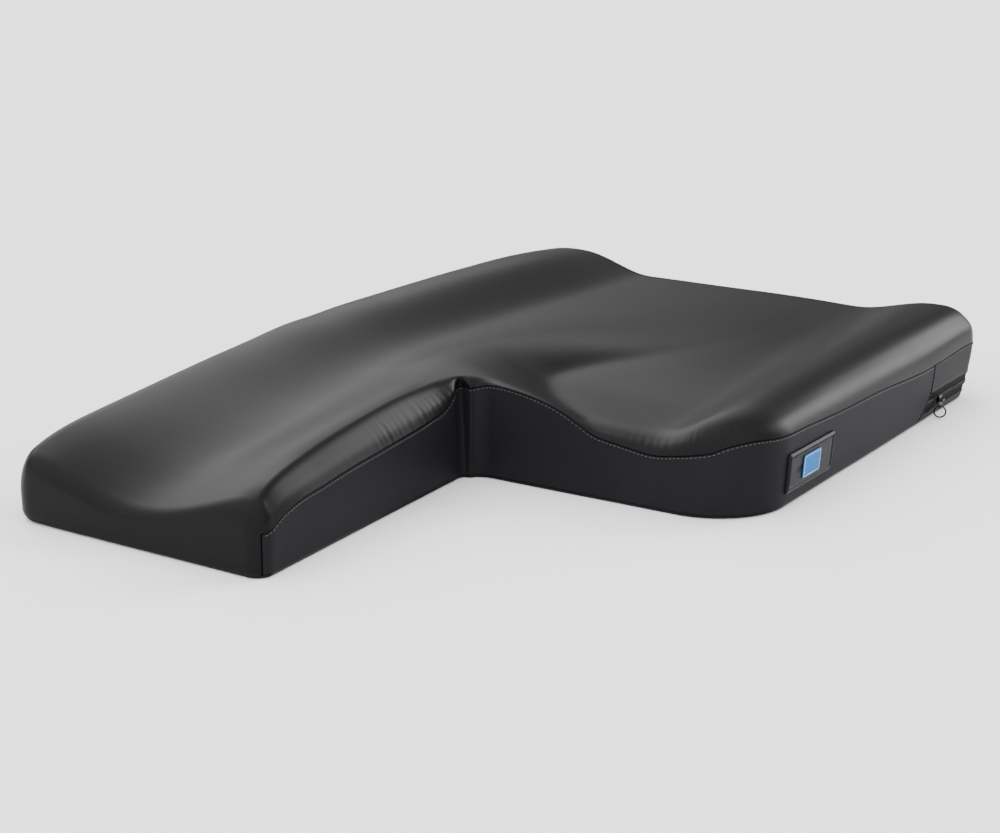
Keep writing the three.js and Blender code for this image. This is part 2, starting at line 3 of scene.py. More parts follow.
import bpy
import numpy as np
from mathutils import Matrix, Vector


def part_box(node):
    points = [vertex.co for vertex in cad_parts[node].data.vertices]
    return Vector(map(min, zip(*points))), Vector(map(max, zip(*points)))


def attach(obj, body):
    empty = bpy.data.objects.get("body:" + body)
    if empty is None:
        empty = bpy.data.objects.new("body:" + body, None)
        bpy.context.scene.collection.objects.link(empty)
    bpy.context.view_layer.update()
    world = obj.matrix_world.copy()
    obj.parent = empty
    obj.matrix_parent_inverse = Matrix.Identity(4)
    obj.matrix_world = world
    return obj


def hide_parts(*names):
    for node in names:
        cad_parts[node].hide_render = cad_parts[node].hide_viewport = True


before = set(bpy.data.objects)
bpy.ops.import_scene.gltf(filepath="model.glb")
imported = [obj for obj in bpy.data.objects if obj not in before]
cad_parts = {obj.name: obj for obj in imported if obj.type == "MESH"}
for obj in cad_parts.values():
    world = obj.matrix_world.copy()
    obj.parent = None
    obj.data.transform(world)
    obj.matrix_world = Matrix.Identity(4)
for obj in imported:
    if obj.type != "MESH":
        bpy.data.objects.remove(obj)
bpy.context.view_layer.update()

MM = 0.001

# Plan of the cover at its widest
WIDTH = 457.0
ARM_LENGTH = 279.0
SEAT_DEPTH = 463.0
ARM_WIDTH_FRONT = 229.0
ARM_WIDTH_BACK = 207.0
FRONT_FLARE = 13.5
LENGTH = ARM_LENGTH + SEAT_DEPTH

# Sewn cover
PANEL_THICKNESS = 1.4
CLEARANCE = 0.3
RECESS = PANEL_THICKNESS + CLEARANCE
WALL_CURVE = 1.6
PANEL_LOW = 2.9
PANEL_DROP = 0.8
SEAM_TUCK = 1.3
CORNER_SEAM = 1.5
STITCH_PITCH = 3.4
STITCH_LENGTH = 2.3
THREAD_RADIUS = 0.32

# Zip round the back
SIDE_PANEL_END = 626.0
SEAM_GAP = 1.1
ZIP_MIDDLE = 17.0
COIL_WIDTH = 2.8
COIL_PROUD = 0.7
TAPE_WIDTH = 6.2
TAPE_SUNK = 0.4
TOOTH_PITCH = 1.7
LEAN_REACH = 22.0
LEAN_TOP = 28.0
LEAN_RUN = 45.0
LEAN_POWER = 1.5

# Patch on the right panel and the woven tab on it
PATCH = {"from": 334.5, "to": 418.0, "low": 12.2, "high": 43.8, "radius": 2.4}
PATCH_THICKNESS = 1.2
BORDER_RISE = 1.3
LABEL = {"from": 361.5, "to": 391.5, "low": 18.5, "high": 37.0, "radius": 2.0}
LABEL_THICKNESS = 0.8

# Corners of the plan, anticlockwise from above: x, y and the radius that each is rounded to. The sides that start at
# them are the arm's front, the arm's right, the short front, the right, the back and the left.
CORNERS = np.array([
    (-FRONT_FLARE, 0.0, 20.0),
    (ARM_WIDTH_FRONT, 0.0, 14.0),
    (ARM_WIDTH_BACK, ARM_LENGTH, 20.0),
    (WIDTH, ARM_LENGTH, 62.0),
    (WIDTH, LENGTH, 30.0),
    (0.0, LENGTH, 40.0),
])
ARM_FRONT, ARM_RIGHT, SHORT_FRONT, RIGHT, LEFT = 0, 1, 2, 3, 5

# The rolled edge: side and how far along it, then the roll's height, its width, how far its lower part leans in as a
# share of the width, its swell above the seam, the wall's undercut and the radius that the wall is rounded under with
EDGES = np.array([
    (0.00, 29, 17, 0, 0, 0.5, 9),
    (0.12, 15, 12, 0, 0, 0.5, 6),
    (0.30, 10, 10, 0, 0, 0.5, 5),
    (0.75, 10, 10, 0, 0, 0.5, 4),
    (0.90, 13, 11, 0, 0, 0.5, 3.5),
    (1.00, 17, 11, 0.1, 0.2, 0.5, 3.5),
    (1.03, 19, 12, 0.2, 0.4, 0.7, 3),
    (1.06, 20.3, 13, 0.35, 0.5, 1, 3),
    (1.13, 20.1, 15, 0.45, 0.5, 1, 3),
    (1.20, 19.0, 16, 0.5, 0.5, 1, 3),
    (1.36, 19.6, 17, 0.5, 0.5, 1, 3),
    (1.54, 21.0, 17, 0.5, 0.5, 1, 3),
    (1.70, 21.0, 17, 0.5, 0.5, 1, 3),
    (1.80, 19.0, 16, 0.45, 0.5, 1, 3),
    (1.87, 17.8, 15, 0.35, 0.4, 1, 3),
    (1.93, 10.7, 14, 0.1, 0.5, 0.5, 3),
    (1.98, 7.3, 12, 0.2, 0.3, 0.5, 3),
    (2.02, 6.1, 12, 0.3, 0.2, 0.5, 3),
    (2.07, 3.2, 11, 0.3, 0.2, 0.5, 3),
    (2.13, 1.6, 10, 0.3, 0.2, 0.5, 3),
    (2.24, 1.8, 10, 0.3, 0.2, 0.5, 3),
    (2.34, 2.7, 12, 0.3, 0.2, 0.5, 3),
    (2.43, 4.3, 18, 0.25, 0.3, 0.7, 3),
    (2.52, 6.8, 24, 0.2, 0.4, 1, 3),
    (2.61, 10, 29, 0.2, 0.4, 1, 3),
    (2.70, 13.2, 32, 0.2, 0.4, 1, 3),
    (2.79, 17.5, 33, 0.2, 0.4, 1.5, 3),
    (2.87, 18.5, 35, 0.2, 0.4, 2, 3.5),
    (2.94, 15, 35, 0.2, 0.4, 2.5, 4),
    (3.02, 14, 36, 0.2, 0.4, 3, 4),
    (3.09, 17.5, 36, 0.2, 0.4, 3.5, 4),
    (3.16, 20, 37, 0.2, 0.5, 4, 4),
    (3.34, 25, 37, 0.2, 0.5, 5, 4),
    (3.49, 27, 37, 0.2, 0.6, 5.5, 4),
    (3.70, 32, 36, 0.15, 0.8, 7, 4),
    (3.92, 30, 31, 0.1, 1.0, 9, 4),
    (4.10, 28, 31, 0, 1.2, 9, 5),
    (4.50, 28, 36, 0, 1.5, 7, 6),
    (5.10, 30, 33, 0, 1.0, 5, 6),
    (5.85, 29, 24, 0, 0.3, 1, 7),
], dtype=float)

# The rolled edge's curve: the share of its height and width that its tangents reach, how far up it the swell and the
# wall's folds go, and the power that spaces its rings
ROLL_PULL = 0.62
SWELL_TOP = 0.5
FOLDS_TOP = 0.9
ROLL_RINGS = 25
ROLL_SPREAD = 1.15

# Pleats above the seam: where each stretch has its middle, as side and part of it, how far it reaches, the pleats'
# height, period and seed. Then how they slant, and the part of the way up the roll that they lie about and its reach.
GATHERS = (
    (1.66, 0.25, 0.24, 8.5, 11),
    (2.64, 0.15, 0.30, 7.5, 12),
    (2.80, 0.05, 0.45, 6.0, 14),
    (2.96, 0.05, 0.35, 7.0, 13),
)
GATHER_SLANT = 9.0
GATHER_PART = 0.1
GATHER_REACH = 0.36

# The crease in the inner corner: its place past the corner, its depth at the base and what it gains up to the seam,
# the power that it gains it with, and its widths before and after its middle. Then the same of the fold beside it.
CREASE_PLACE = -6.0
CREASE_DEPTH = (2.5, 7.5)
CREASE_POWER = 1.3
CREASE_WIDTHS = (9.0, 2.4)
FOLD_PLACE = -0.5
FOLD_HEIGHT = (0.6, 1.0)
FOLD_WIDTH = 3.2

# The contoured top, one row for each cross-section: heights of the left rim, the stump's trough, the ridge between
# the legs, the foot of its flank, the thigh's trough and the right rim, then the places of the first four across
SECTION_COLUMNS = ("y", "rim", "trough", "ridge", "foot", "thigh", "right", "rim_x", "trough_x", "ridge_x", "foot_x")
SECTIONS = np.array([
    (-30, 50, 25, 45, 30, 40, 60, -24, 98, 222, 340),
    (0, 54, 28.5, 54.5, 34, 44, 62, -20, 103, 220, 340),
    (20, 60, 36, 61, 38, 46, 63, -16, 108, 217, 340),
    (60, 68, 48, 69.5, 44, 48, 65, -8, 118, 210, 338),
    (120, 76, 59, 77, 48, 50, 67, 0, 126, 201, 335),
    (200, 86, 68, 83, 52, 53, 69, 10, 122, 195, 330),
    (255, 92, 73, 85, 54, 55, 68, 15, 118, 184, 325),
    (279, 95, 75, 85.5, 55, 55, 69.5, 18, 116, 174, 318),
    (300, 97, 76, 85.5, 60, 56, 74, 20, 114, 165, 282),
    (330, 98, 77, 85, 62, 58, 78, 23, 112, 161, 248),
    (365, 100, 77, 84, 63.5, 60, 80, 25, 111, 161, 225),
    (410, 101, 77, 82.5, 67, 63, 81, 28, 111, 172, 240),
    (460, 102, 77, 80.5, 71, 66, 82, 31, 112, 192, 276),
    (540, 103, 77, 78, 73, 70, 83, 36, 114, 226, 310),
    (640, 102, 77, 77, 73, 72, 84, 42, 118, 236, 320),
    (742, 94, 78, 77, 75, 74, 86, 48, 122, 236, 320),
    (800, 86, 77, 76, 74, 73, 86, 50, 122, 236, 320),
], dtype=float)
THIGH_X = 368.0
THIGH_TURN = 24.0
RIGHT_RIM_X = WIDTH - 38.0
DISH_END = 90.0
DISH_SQUARE = 1.7
DISH_FOURTH = 0.7
FLANK_POWER_FRONT = 2.5
FLANK_POWER_BACK = 1.6
FLANK_RUN = 50.0
FLANK_BEND = 0.8

# How far the top falls towards the arm's right edge, over what run, and where along the arm that starts and ends
ARM_FALL = 5.0
ARM_FALL_RUN = 28.0
ARM_FALL_FROM = (20.0, 80.0)
ARM_FALL_TO = (215.0, 265.0)

# Shoulders where the top sinks towards some corners: x, y, depth and reach
SHOULDERS = (
    (-FRONT_FLARE, 4.0, 5.0, 24.0),
    (ARM_WIDTH_FRONT, 0.0, 9.0, 16.0),
    (ARM_WIDTH_BACK + 21.0, ARM_LENGTH - 11.0, 4.0, 48.0),
    (WIDTH - 6.0, LENGTH - 6.0, 3.0, 26.0),
)


def smooth(t):
    """Rises from 0 to 1 with level ends: 3 t squared less 2 t cubed, held at 0 and 1 outside."""
    t = np.clip(t, 0.0, 1.0)
    return t * t * (3 - 2 * t)


def bell(t):
    """e to the minus t squared."""
    return np.exp(-np.square(t))


def carried(keys, values, at):
    """Values of rows at places between their keys, as a cubic through the rows whose slope at each row is that of
    the line between its neighbours."""
    i = np.clip(np.searchsorted(keys, at, side="right") - 1, 0, len(keys) - 2)
    before, after = np.maximum(i - 1, 0), np.minimum(i + 2, len(keys) - 1)
    span = keys[i + 1] - keys[i]
    slope_a = (values[i + 1] - values[before]) / (keys[i + 1] - keys[before]) * span
    slope_b = (values[after] - values[i]) / (keys[after] - keys[i]) * span
    t = np.clip((at - keys[i]) / span, 0.0, 1.0)
    bend = t * (1 - t) * ((1 - t) * slope_a - t * slope_b)
    return values[i] + (values[i + 1] - values[i]) * smooth(t) + bend


def section(name, y):
    """A column of SECTIONS at places along the cushion."""
    return carried(SECTIONS[:, 0], SECTIONS[:, SECTION_COLUMNS.index(name)], y)


def contour(x, y):
    """Height of the contoured top. From the left rim it eases down to the stump's trough and up to the ridge, near
    the front as a dish, where the rise is 1.7 t squared less 0.7 t to the fourth. Beyond the ridge the flank falls
    like (1 - t to a power) to the power 0.8, steepest at its foot, with a power that eases from 2.5 to 1.6 behind
    the short front. The seat eases on to the thigh's trough, which turns inwards to the back, and to the right rim.
    The top eases down to the arm's right edge, and the shoulders sink as bells of the distance from them."""
    rim, trough, ridge, foot, thigh, right = (section(name, y) for name in SECTION_COLUMNS[1:7])
    rim_x, trough_x, ridge_x, foot_x = (section(name, y) for name in SECTION_COLUMNS[7:])
    dish = smooth(1 - y / DISH_END)
    t = np.clip((x - trough_x) / (ridge_x - trough_x), 0, 1)
    rise = dish * (DISH_SQUARE * t ** 2 - DISH_FOURTH * t ** 4) + (1 - dish) * smooth(t)
    z = rim + (trough - rim) * smooth((x - rim_x) / (trough_x - rim_x)) + (ridge - trough) * rise
    t = np.clip((x - ridge_x) / (foot_x - ridge_x), 0, 1)
    power = FLANK_POWER_FRONT + (FLANK_POWER_BACK - FLANK_POWER_FRONT) * smooth((y - ARM_LENGTH) / FLANK_RUN)
    z += (foot - ridge) * (1 - (1 - t ** power) ** FLANK_BEND)
    thigh_x = THIGH_X - THIGH_TURN * smooth((y - ARM_LENGTH) / SEAT_DEPTH)
    z += (thigh - foot) * smooth((x - foot_x) / (thigh_x - foot_x))
    z += (right - thigh) * smooth((x - thigh_x) / (RIGHT_RIM_X - thigh_x))
    edge_x = ARM_WIDTH_FRONT + (ARM_WIDTH_BACK - ARM_WIDTH_FRONT) * y / ARM_LENGTH
    starts = smooth((y - ARM_FALL_FROM[0]) / (ARM_FALL_FROM[1] - ARM_FALL_FROM[0]))
    ends = smooth((y - ARM_FALL_TO[0]) / (ARM_FALL_TO[1] - ARM_FALL_TO[0]))
    z -= ARM_FALL * smooth((x - edge_x) / ARM_FALL_RUN + 1) * starts * (1 - ends)
    for shoulder_x, shoulder_y, depth, reach in SHOULDERS:
        z -= depth * bell(np.hypot(x - shoulder_x, y - shoulder_y) / reach)
    return z


# The grid that the contour is softened on: its step, how far it goes past the plan, the blur's standard deviation
FIELD_STEP = 3.0
FIELD_MARGIN = 60.0
FIELD_SOFTNESS = 6.0


def softened_field():
    """The contour on a square grid, blurred each way by a bell curve that is cut off at three standard deviations,
    as foam and stretched cloth round it."""
    x = np.arange(-FIELD_MARGIN, WIDTH + FIELD_MARGIN, FIELD_STEP)
    y = np.arange(-FIELD_MARGIN, LENGTH + FIELD_MARGIN, FIELD_STEP)
    field = contour(*np.meshgrid(x, y, indexing="ij"))
    reach = int(3 * FIELD_SOFTNESS / FIELD_STEP)
    weights = bell(np.arange(-reach, reach + 1) * FIELD_STEP / (FIELD_SOFTNESS * math.sqrt(2)))
    weights /= weights.sum()
    for axis in (0, 1):
        padded = np.pad(field, [(reach, reach) if a == axis else (0, 0) for a in (0, 1)], mode="edge")
        count = field.shape[axis]
        field = sum(w * np.take(padded, np.arange(k, k + count), axis=axis) for k, w in enumerate(weights))
    return field


FIELD = softened_field()


def cubic_weights(t):
    """Weights of four neighbours for a cubic B-spline at t between the middle two."""
    second = (3 * t ** 3 - 6 * t ** 2 + 4) / 6
    third = (-3 * t ** 3 + 3 * t ** 2 + 3 * t + 1) / 6
    return [(1 - t) ** 3 / 6, second, third, t ** 3 / 6]


def top_height(x, y):
    """Height of the top over points of the plan: a cubic B-spline surface through the softened field."""
    u, v = (x + FIELD_MARGIN) / FIELD_STEP, (y + FIELD_MARGIN) / FIELD_STEP
    i = np.clip(u.astype(int), 1, FIELD.shape[0] - 3)
    j = np.clip(v.astype(int), 1, FIELD.shape[1] - 3)
    across, along = cubic_weights(u - i), cubic_weights(v - j)
    return sum(across[a] * along[b] * FIELD[i + a - 1, j + b - 1] for a in range(4) for b in range(4))


SIDES = len(CORNERS)
SIDE_LENGTHS = np.linalg.norm(np.roll(CORNERS[:, :2], -1, axis=0) - CORNERS[:, :2], axis=1)
SIDE_STARTS = np.concatenate([[0.0], np.cumsum(SIDE_LENGTHS)])
INNER_CORNER = SIDE_STARTS[SHORT_FRONT]


def corner_arcs():
    """For each corner: its turn, its tangent length, the direction into the body before it and its centre."""
    here = CORNERS[:, :2]
    before = here - np.roll(here, 1, axis=0)
    before /= np.linalg.norm(before, axis=1, keepdims=True)
    after = np.roll(before, -1, axis=0)
    cross = before[:, 0] * after[:, 1] - before[:, 1] * after[:, 0]
    turn = np.arctan2(cross, (before * after).sum(axis=1))
    tangent = CORNERS[:, 2] * np.tan(np.abs(turn) / 2)
    inward = np.stack([-before[:, 1], before[:, 0]], axis=1)
    centre = here - before * tangent[:, None] + inward * (CORNERS[:, 2] * np.sign(turn))[:, None]
    return turn, tangent, inward, centre


TURN, TANGENT, INWARD, CENTRE = corner_arcs()


def on_arc(corner, part):
    """Points and outward directions on corners' arcs, from part 0 to part 1 of the way round each."""
    c, s = np.cos(TURN[corner] * part), np.sin(TURN[corner] * part)
    ix, iy = -INWARD[corner, 0], -INWARD[corner, 1]
    out = np.stack([ix * c - iy * s, ix * s + iy * c], axis=-1)
    return CENTRE[corner] + out * (CORNERS[corner, 2] * np.sign(TURN[corner]))[:, None], out


# The rows of EDGES with the last two before them and the first two after them, as the outline closes
ONCE_ROUND = np.array([SIDES, 0, 0, 0, 0, 0, 0])
EDGE_LOOP = np.vstack([EDGES[-2:] - ONCE_ROUND, EDGES, EDGES[:2] + ONCE_ROUND])


def uneven(length, period, seed):
    """A wavy line between about -1 and 1: a third of the sum of five sines, with seeded phases and with periods of
    0.7 to 1.5 of the given one."""
    rng = np.random.default_rng(seed)
    total = np.zeros_like(length)
    for _ in range(5):
        total += np.sin(2 * math.pi * length / (period * rng.uniform(0.7, 1.5)) + rng.uniform(0, 2 * math.pi))
    return total / 3


class Places:
    """Places on the rounded outline, from arrays of distances round the sharp plan from its first corner. It holds
    point and out in plan, the place as side and part of it, the roll's sizes, the seam's height, and sewn: 1 beside
    a sewn panel, and 0 where the cover wraps over the arm's front."""

    def __init__(self, length):
        self.length = np.asarray(length, dtype=float)
        side = np.clip(np.searchsorted(SIDE_STARTS, self.length, side="right") - 1, 0, SIDES - 1)
        following = (side + 1) % SIDES
        distance = self.length - SIDE_STARTS[side]
        direction = (CORNERS[following, :2] - CORNERS[side, :2]) / SIDE_LENGTHS[side, None]
        self.point = CORNERS[side, :2] + direction * distance[:, None]
        self.out = np.stack([direction[:, 1], -direction[:, 0]], axis=1)
        for corner, left, sign in ((side, distance, 1), (following, SIDE_LENGTHS[side] - distance, -1)):
            near = (left < TANGENT[corner])[:, None]
            point, out = on_arc(corner, 0.5 + sign * 0.5 * left / TANGENT[corner])
            self.point, self.out = np.where(near, point, self.point), np.where(near, out, self.out)
        self.at = side + distance / SIDE_LENGTHS[side]
        sizes = (carried(EDGE_LOOP[:, 0], EDGE_LOOP[:, k], self.at) for k in range(1, 7))
        self.height, self.width, self.lean, self.swell, self.undercut, self.under = sizes
        self.seam = top_height(*self.point.T) - self.height
        wrapped = (side == ARM_FRONT) | ((side == ARM_RIGHT) & (distance < CORNER_SEAM))
        wrapped |= (side == LEFT) & (SIDE_LENGTHS[LEFT] - distance < CORNER_SEAM)
        self.sewn = np.where(wrapped, 0.0, 1.0)

    def folds(self, part):
        """How far the cloth stands out, part 0 to 1 of the way up the wall. In the inner corner it is drawn into a
        deep crease with a standing fold beside it, both stronger towards the seam."""
        from_corner = self.length - INNER_CORNER
        width = np.where(from_corner < CREASE_PLACE, *CREASE_WIDTHS)
        depth = CREASE_DEPTH[0] + CREASE_DEPTH[1] * part ** CREASE_POWER
        fold = (FOLD_HEIGHT[0] + FOLD_HEIGHT[1] * part) * bell((from_corner - FOLD_PLACE) / FOLD_WIDTH)
        return fold - depth * bell((from_corner - CREASE_PLACE) / width)

    def wall(self, z, out):
        """Points on the wall at heights z, moved outwards by out. The wall draws in towards the base by its
        undercut times a power of how far below the seam a point is, follows the folds, and is rounded under as a
        quarter circle."""
        z = np.broadcast_to(z, self.seam.shape)
        below = np.clip(1 - z / self.seam, 0, 1)
        under = self.under * (1 - np.sqrt(1 - np.clip(1 - z / self.under, 0, 1) ** 2))
        step = out - under - self.undercut * below ** WALL_CURVE + self.folds(1 - below)
        return np.column_stack([self.point + self.out * step[:, None], z])

    def gathers(self, part):
        """Small pleats above the seam where the cover is eased round the arm's back end, the short front and the
        front right corner: for each stretch a slanting wavy line times a bell along the edge, all of them times a
        bell of the way up the roll."""
        slant = self.length + GATHER_SLANT * part
        pleats = sum(height * bell((self.at - middle) / reach) * uneven(slant, period, seed)
                     for middle, reach, height, period, seed in GATHERS)
        return pleats * bell((part - GATHER_PART) / GATHER_REACH)

    def roll(self, part):
        """Points on the rolled edge, from the seam (part 0) to the top (part 1): a cubic curve hung from the
        contour. Both its handles are moved in by the lean, so it is near a quarter of an ellipse where nothing
        leans. It is swollen above the seam as a squared sine, gathered, and follows the wall's folds at its foot."""
        angle = part * math.pi / 2
        lift = self.swell * math.sin(math.pi * min(1.0, part / SWELL_TOP)) ** 2 + self.gathers(part)
        first, second = 3 * (1 - part) ** 2 * part, 3 * (1 - part) * part ** 2
        pulled = ROLL_PULL * self.lean
        inset = self.width * (first * pulled + second * (1 - ROLL_PULL + pulled) + part ** 3)
        x, y = (self.point - self.out * inset[:, None]).T
        rise = first * ROLL_PULL + second + part ** 3
        z = top_height(x, y) - self.height * (1 - rise) + lift * math.sin(angle)
        step = lift * math.cos(angle) + self.folds(np.ones_like(x)) * (1 - smooth(part / FOLDS_TOP))
        return np.column_stack([x + self.out[:, 0] * step, y + self.out[:, 1] * step, z])


def walked(points):
    """Distances along a line of points."""
    return np.concatenate([[0], np.cumsum(np.linalg.norm(np.diff(points, axis=0), axis=1))])


def spaced(*runs):
    """Values along several runs, each of (low, high, step), without the last run's high."""
    parts = [low + (high - low) * np.arange(n) / n for low, high, n in
             ((low, high, max(1, round((high - low) / step))) for low, high, step in runs)]
    return np.concatenate(parts)


# Grid lines of the cover as runs of low, high and step, closer where it is gathered and creased
GRID_X = np.append(spaced((0, 160, 3.2), (160, ARM_WIDTH_BACK, 2.2), (ARM_WIDTH_BACK, 235, 1.1), (235, 310, 2.4),
                          (310, WIDTH, 1.5)), WIDTH)
GRID_Y = np.append(spaced((0, CORNER_SEAM, 1.5), (CORNER_SEAM, 150, 2.8), (150, 245, 1.5), (245, ARM_LENGTH, 1.1),
                          (ARM_LENGTH, 330, 2.0), (330, LENGTH, 3.1)), LENGTH)
ARM_I, ARM_J = np.searchsorted(GRID_X, ARM_WIDTH_BACK - 1e-6), np.searchsorted(GRID_Y, ARM_LENGTH - 1e-6)
LAST_I, LAST_J = len(GRID_X) - 1, len(GRID_Y) - 1


def grid_boundary():
    """The grid's boundary anticlockwise: its columns and rows, and its distances round the plan."""
    widen, slant = SIDE_LENGTHS[ARM_FRONT] / ARM_WIDTH_BACK, SIDE_LENGTHS[ARM_RIGHT] / ARM_LENGTH
    sides = [
        (np.arange(ARM_I), 0, GRID_X[:ARM_I] * widen),
        (ARM_I, np.arange(ARM_J), GRID_Y[:ARM_J] * slant),
        (np.arange(ARM_I, LAST_I), ARM_J, GRID_X[ARM_I:-1] - ARM_WIDTH_BACK),
        (LAST_I, np.arange(ARM_J, LAST_J), GRID_Y[ARM_J:-1] - ARM_LENGTH),
        (np.arange(LAST_I, 0, -1), LAST_J, WIDTH - GRID_X[:0:-1]),
        (0, np.arange(LAST_J, 0, -1), LENGTH - GRID_Y[:0:-1]),
    ]
    sides = [np.broadcast_arrays(i, j, start + distance) for start, (i, j, distance) in zip(SIDE_STARTS, sides)]
    return (np.concatenate(part) for part in zip(*sides))


RELAX_ROUNDS = 1500
RELAX_SHARE = 0.95


def relaxed(values, free):
    """Values on a grid, with the free ones moved most of the way to the mean of their four neighbours, many times
    over, until each is nearly that mean."""
    inner = free[1:-1, 1:-1, None]
    for _ in range(RELAX_ROUNDS):
        middle = values[1:-1, 1:-1]
        around = values[:-2, 1:-1] + values[2:, 1:-1] + values[1:-1, :-2] + values[1:-1, 2:]
        values[1:-1, 1:-1] = np.where(inner, middle + RELAX_SHARE * (around / 4 - middle), middle)
    return values


def top_grid(columns, rows, rim):
    """The inside of the roll. The boundary's shift off its square places spreads over the grid as in a stretched
    net, and each point's height is the contour's. Returns the points, which are inside and which are free."""
    i, j = np.meshgrid(np.arange(LAST_I + 1), np.arange(LAST_J + 1), indexing="ij")
    square = np.stack([GRID_X[i], GRID_Y[j]], axis=-1)
    fixed = rim[:, :2] - square[columns, rows]
    inside = (i <= ARM_I) | (j >= ARM_J)
    free = inside.copy()
    free[columns, rows] = False
    from_left, from_front = GRID_X[i] / WIDTH, GRID_Y[j] / LENGTH
    across = (1 - from_left) * fixed[:, 0].max() + from_left * fixed[:, 0].min()
    along = (1 - from_front) * fixed[:, 1].max() + from_front * fixed[:, 1].min()
    shift = np.stack([across, along], axis=-1)
    shift[columns, rows] = fixed
    moved = square + relaxed(shift, free)
    return np.concatenate([moved, top_height(moved[..., 0], moved[..., 1])[..., None]], axis=-1), inside, free


def to_frame(points):
    """Millimetres in the pattern's frame to metres in the CAD's frame, by the CAD body's right side and front."""
    low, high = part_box("cushion")
    return np.asarray(points) * MM + np.array([high[0] - WIDTH * MM, low[1], 0.0])


def new_piece(name, points, faces, material, uv=None, slot=None, replaces=()):
    """A smooth mesh object at the origin from points in millimetres and faces, with one UV place for each point."""
    mesh = bpy.data.meshes.new(name)
    mesh.from_pydata(to_frame(points).tolist(), [], faces)
    mesh.update()
    mesh.shade_smooth()
    mesh.materials.append(material)
    if uv is not None:
        corner_points = np.empty(len(mesh.loops), dtype=np.int32)
        mesh.loops.foreach_get("vertex_index", corner_points)
        layer = mesh.uv_layers.new(name="cloth")
        layer.data.foreach_set("uv", np.asarray(uv, dtype=np.float32)[corner_points].ravel())
    piece = bpy.data.objects.new(name, mesh)
    bpy.context.scene.collection.objects.link(piece)
    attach(piece, "root")
    if replaces:
        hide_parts(*replaces)
    return piece


def ring_faces(count, around):
    """Quads between count successive loops of around points, facing out where the loops run anticlockwise as seen
    from the far end."""
    k = np.arange(around)
    following = (k + 1) % around
    a = np.arange(count - 1)[:, None] * around
    b = a + around
    return np.stack([a + k, a + following, b + following, b + k], axis=-1).reshape(-1, 4).tolist()


def tube_faces(count, around):
    """The quads of ring_faces with a face over each end."""
    ends = [list(range(around))[::-1], list(range((count - 1) * around, count * around))]
    return ring_faces(count, around) + ends


# Rings of the cover's wall: heights of those in the curve under it, how many there are behind the panels, and how far
# below the seam the last of them and the tucked one are
UNDER_HEIGHTS = (0, 0.1, 0.3, 0.65, 1.1, 1.7, PANEL_LOW - CLEARANCE)
WALL_RINGS = 12
WALL_DROP = 1.4
TUCK_DROP = 0.5


def cushion_cover(material):
    """The filled body as one closed skin: base, set-back walls, rolled edge and contoured top."""
    columns, rows, lengths = grid_boundary()
    places = Places(lengths)
    count = len(lengths)
    rings = [places.wall(height, 0) for height in UNDER_HEIGHTS]
    low, high = UNDER_HEIGHTS[-1], places.seam - WALL_DROP
    for part in np.linspace(0, 1, WALL_RINGS):
        rings.append(places.wall(low + (high - low) * part, -RECESS * places.sewn))
    rings.append(places.wall(places.seam - TUCK_DROP, -SEAM_TUCK * places.sewn))
    rings += [places.roll(part ** ROLL_SPREAD) for part in np.linspace(0, 1, ROLL_RINGS)]
    faces = ring_faces(len(rings), count) + [list(range(count))[::-1]]
    points, inside, free = top_grid(columns, rows, rings[-1])
    index = np.full(inside.shape, -1)
    index[columns, rows] = (len(rings) - 1) * count + np.arange(count)
    index[free] = len(rings) * count + np.arange(free.sum())
    i, j = np.meshgrid(np.arange(LAST_I), np.arange(LAST_J), indexing="ij")
    keep = (i + 1 <= ARM_I) | (j >= ARM_J)
    i, j = i[keep], j[keep]
    faces += np.stack([index[i, j], index[i + 1, j], index[i + 1, j + 1], index[i, j + 1]], axis=-1).tolist()
    piece = new_piece("cushion_cover", np.vstack(rings + [points[free]]), faces, material, slot="cover",
                      replaces=["cushion"])


# Distances in from a sewn edge at which a strip has points, for its turned edge and the ridge beside it
EDGE_STEPS = np.array([0, 0.12, 0.35, 0.7, 1.05, 1.4, 1.8, 2.3, 3.2])
RIDGE_PLACE = 1.1
RIDGE_WIDTH = 0.7
TURNED_RADIUS = 0.5

# A strip's columns: their step, how far from its ends they start, and the finer ones about the inner corner. Then the
# least flat size that can be given.
STRIP_STEP = 2.0
STRIP_MARGIN = 4.0
CREASE_COLUMNS = (INNER_CORNER - 32, INNER_CORNER + 30, 0.9)
LEAST_FLAT = 10.0


def turned_edge(distance, ridge):
    """How far a sewn strip stands out at a distance in from its edge: rounded back within a small radius of it, with
    a low ridge where the cloth is turned under."""
    back = TURNED_RADIUS * (1 - np.sqrt(1 - np.square(1 - np.clip(distance / TURNED_RADIUS, 0, 1))))
    return ridge * bell((distance - RIDGE_PLACE) / RIDGE_WIDTH) - back


def zip_lean(z):
    """How far forward the seam at the zip's right end runs at a height: none above LEAN_TOP, then further with a
    power of how far below it."""
    return LEAN_REACH * np.clip(1 - z / LEAN_TOP, 0, 1) ** LEAN_POWER


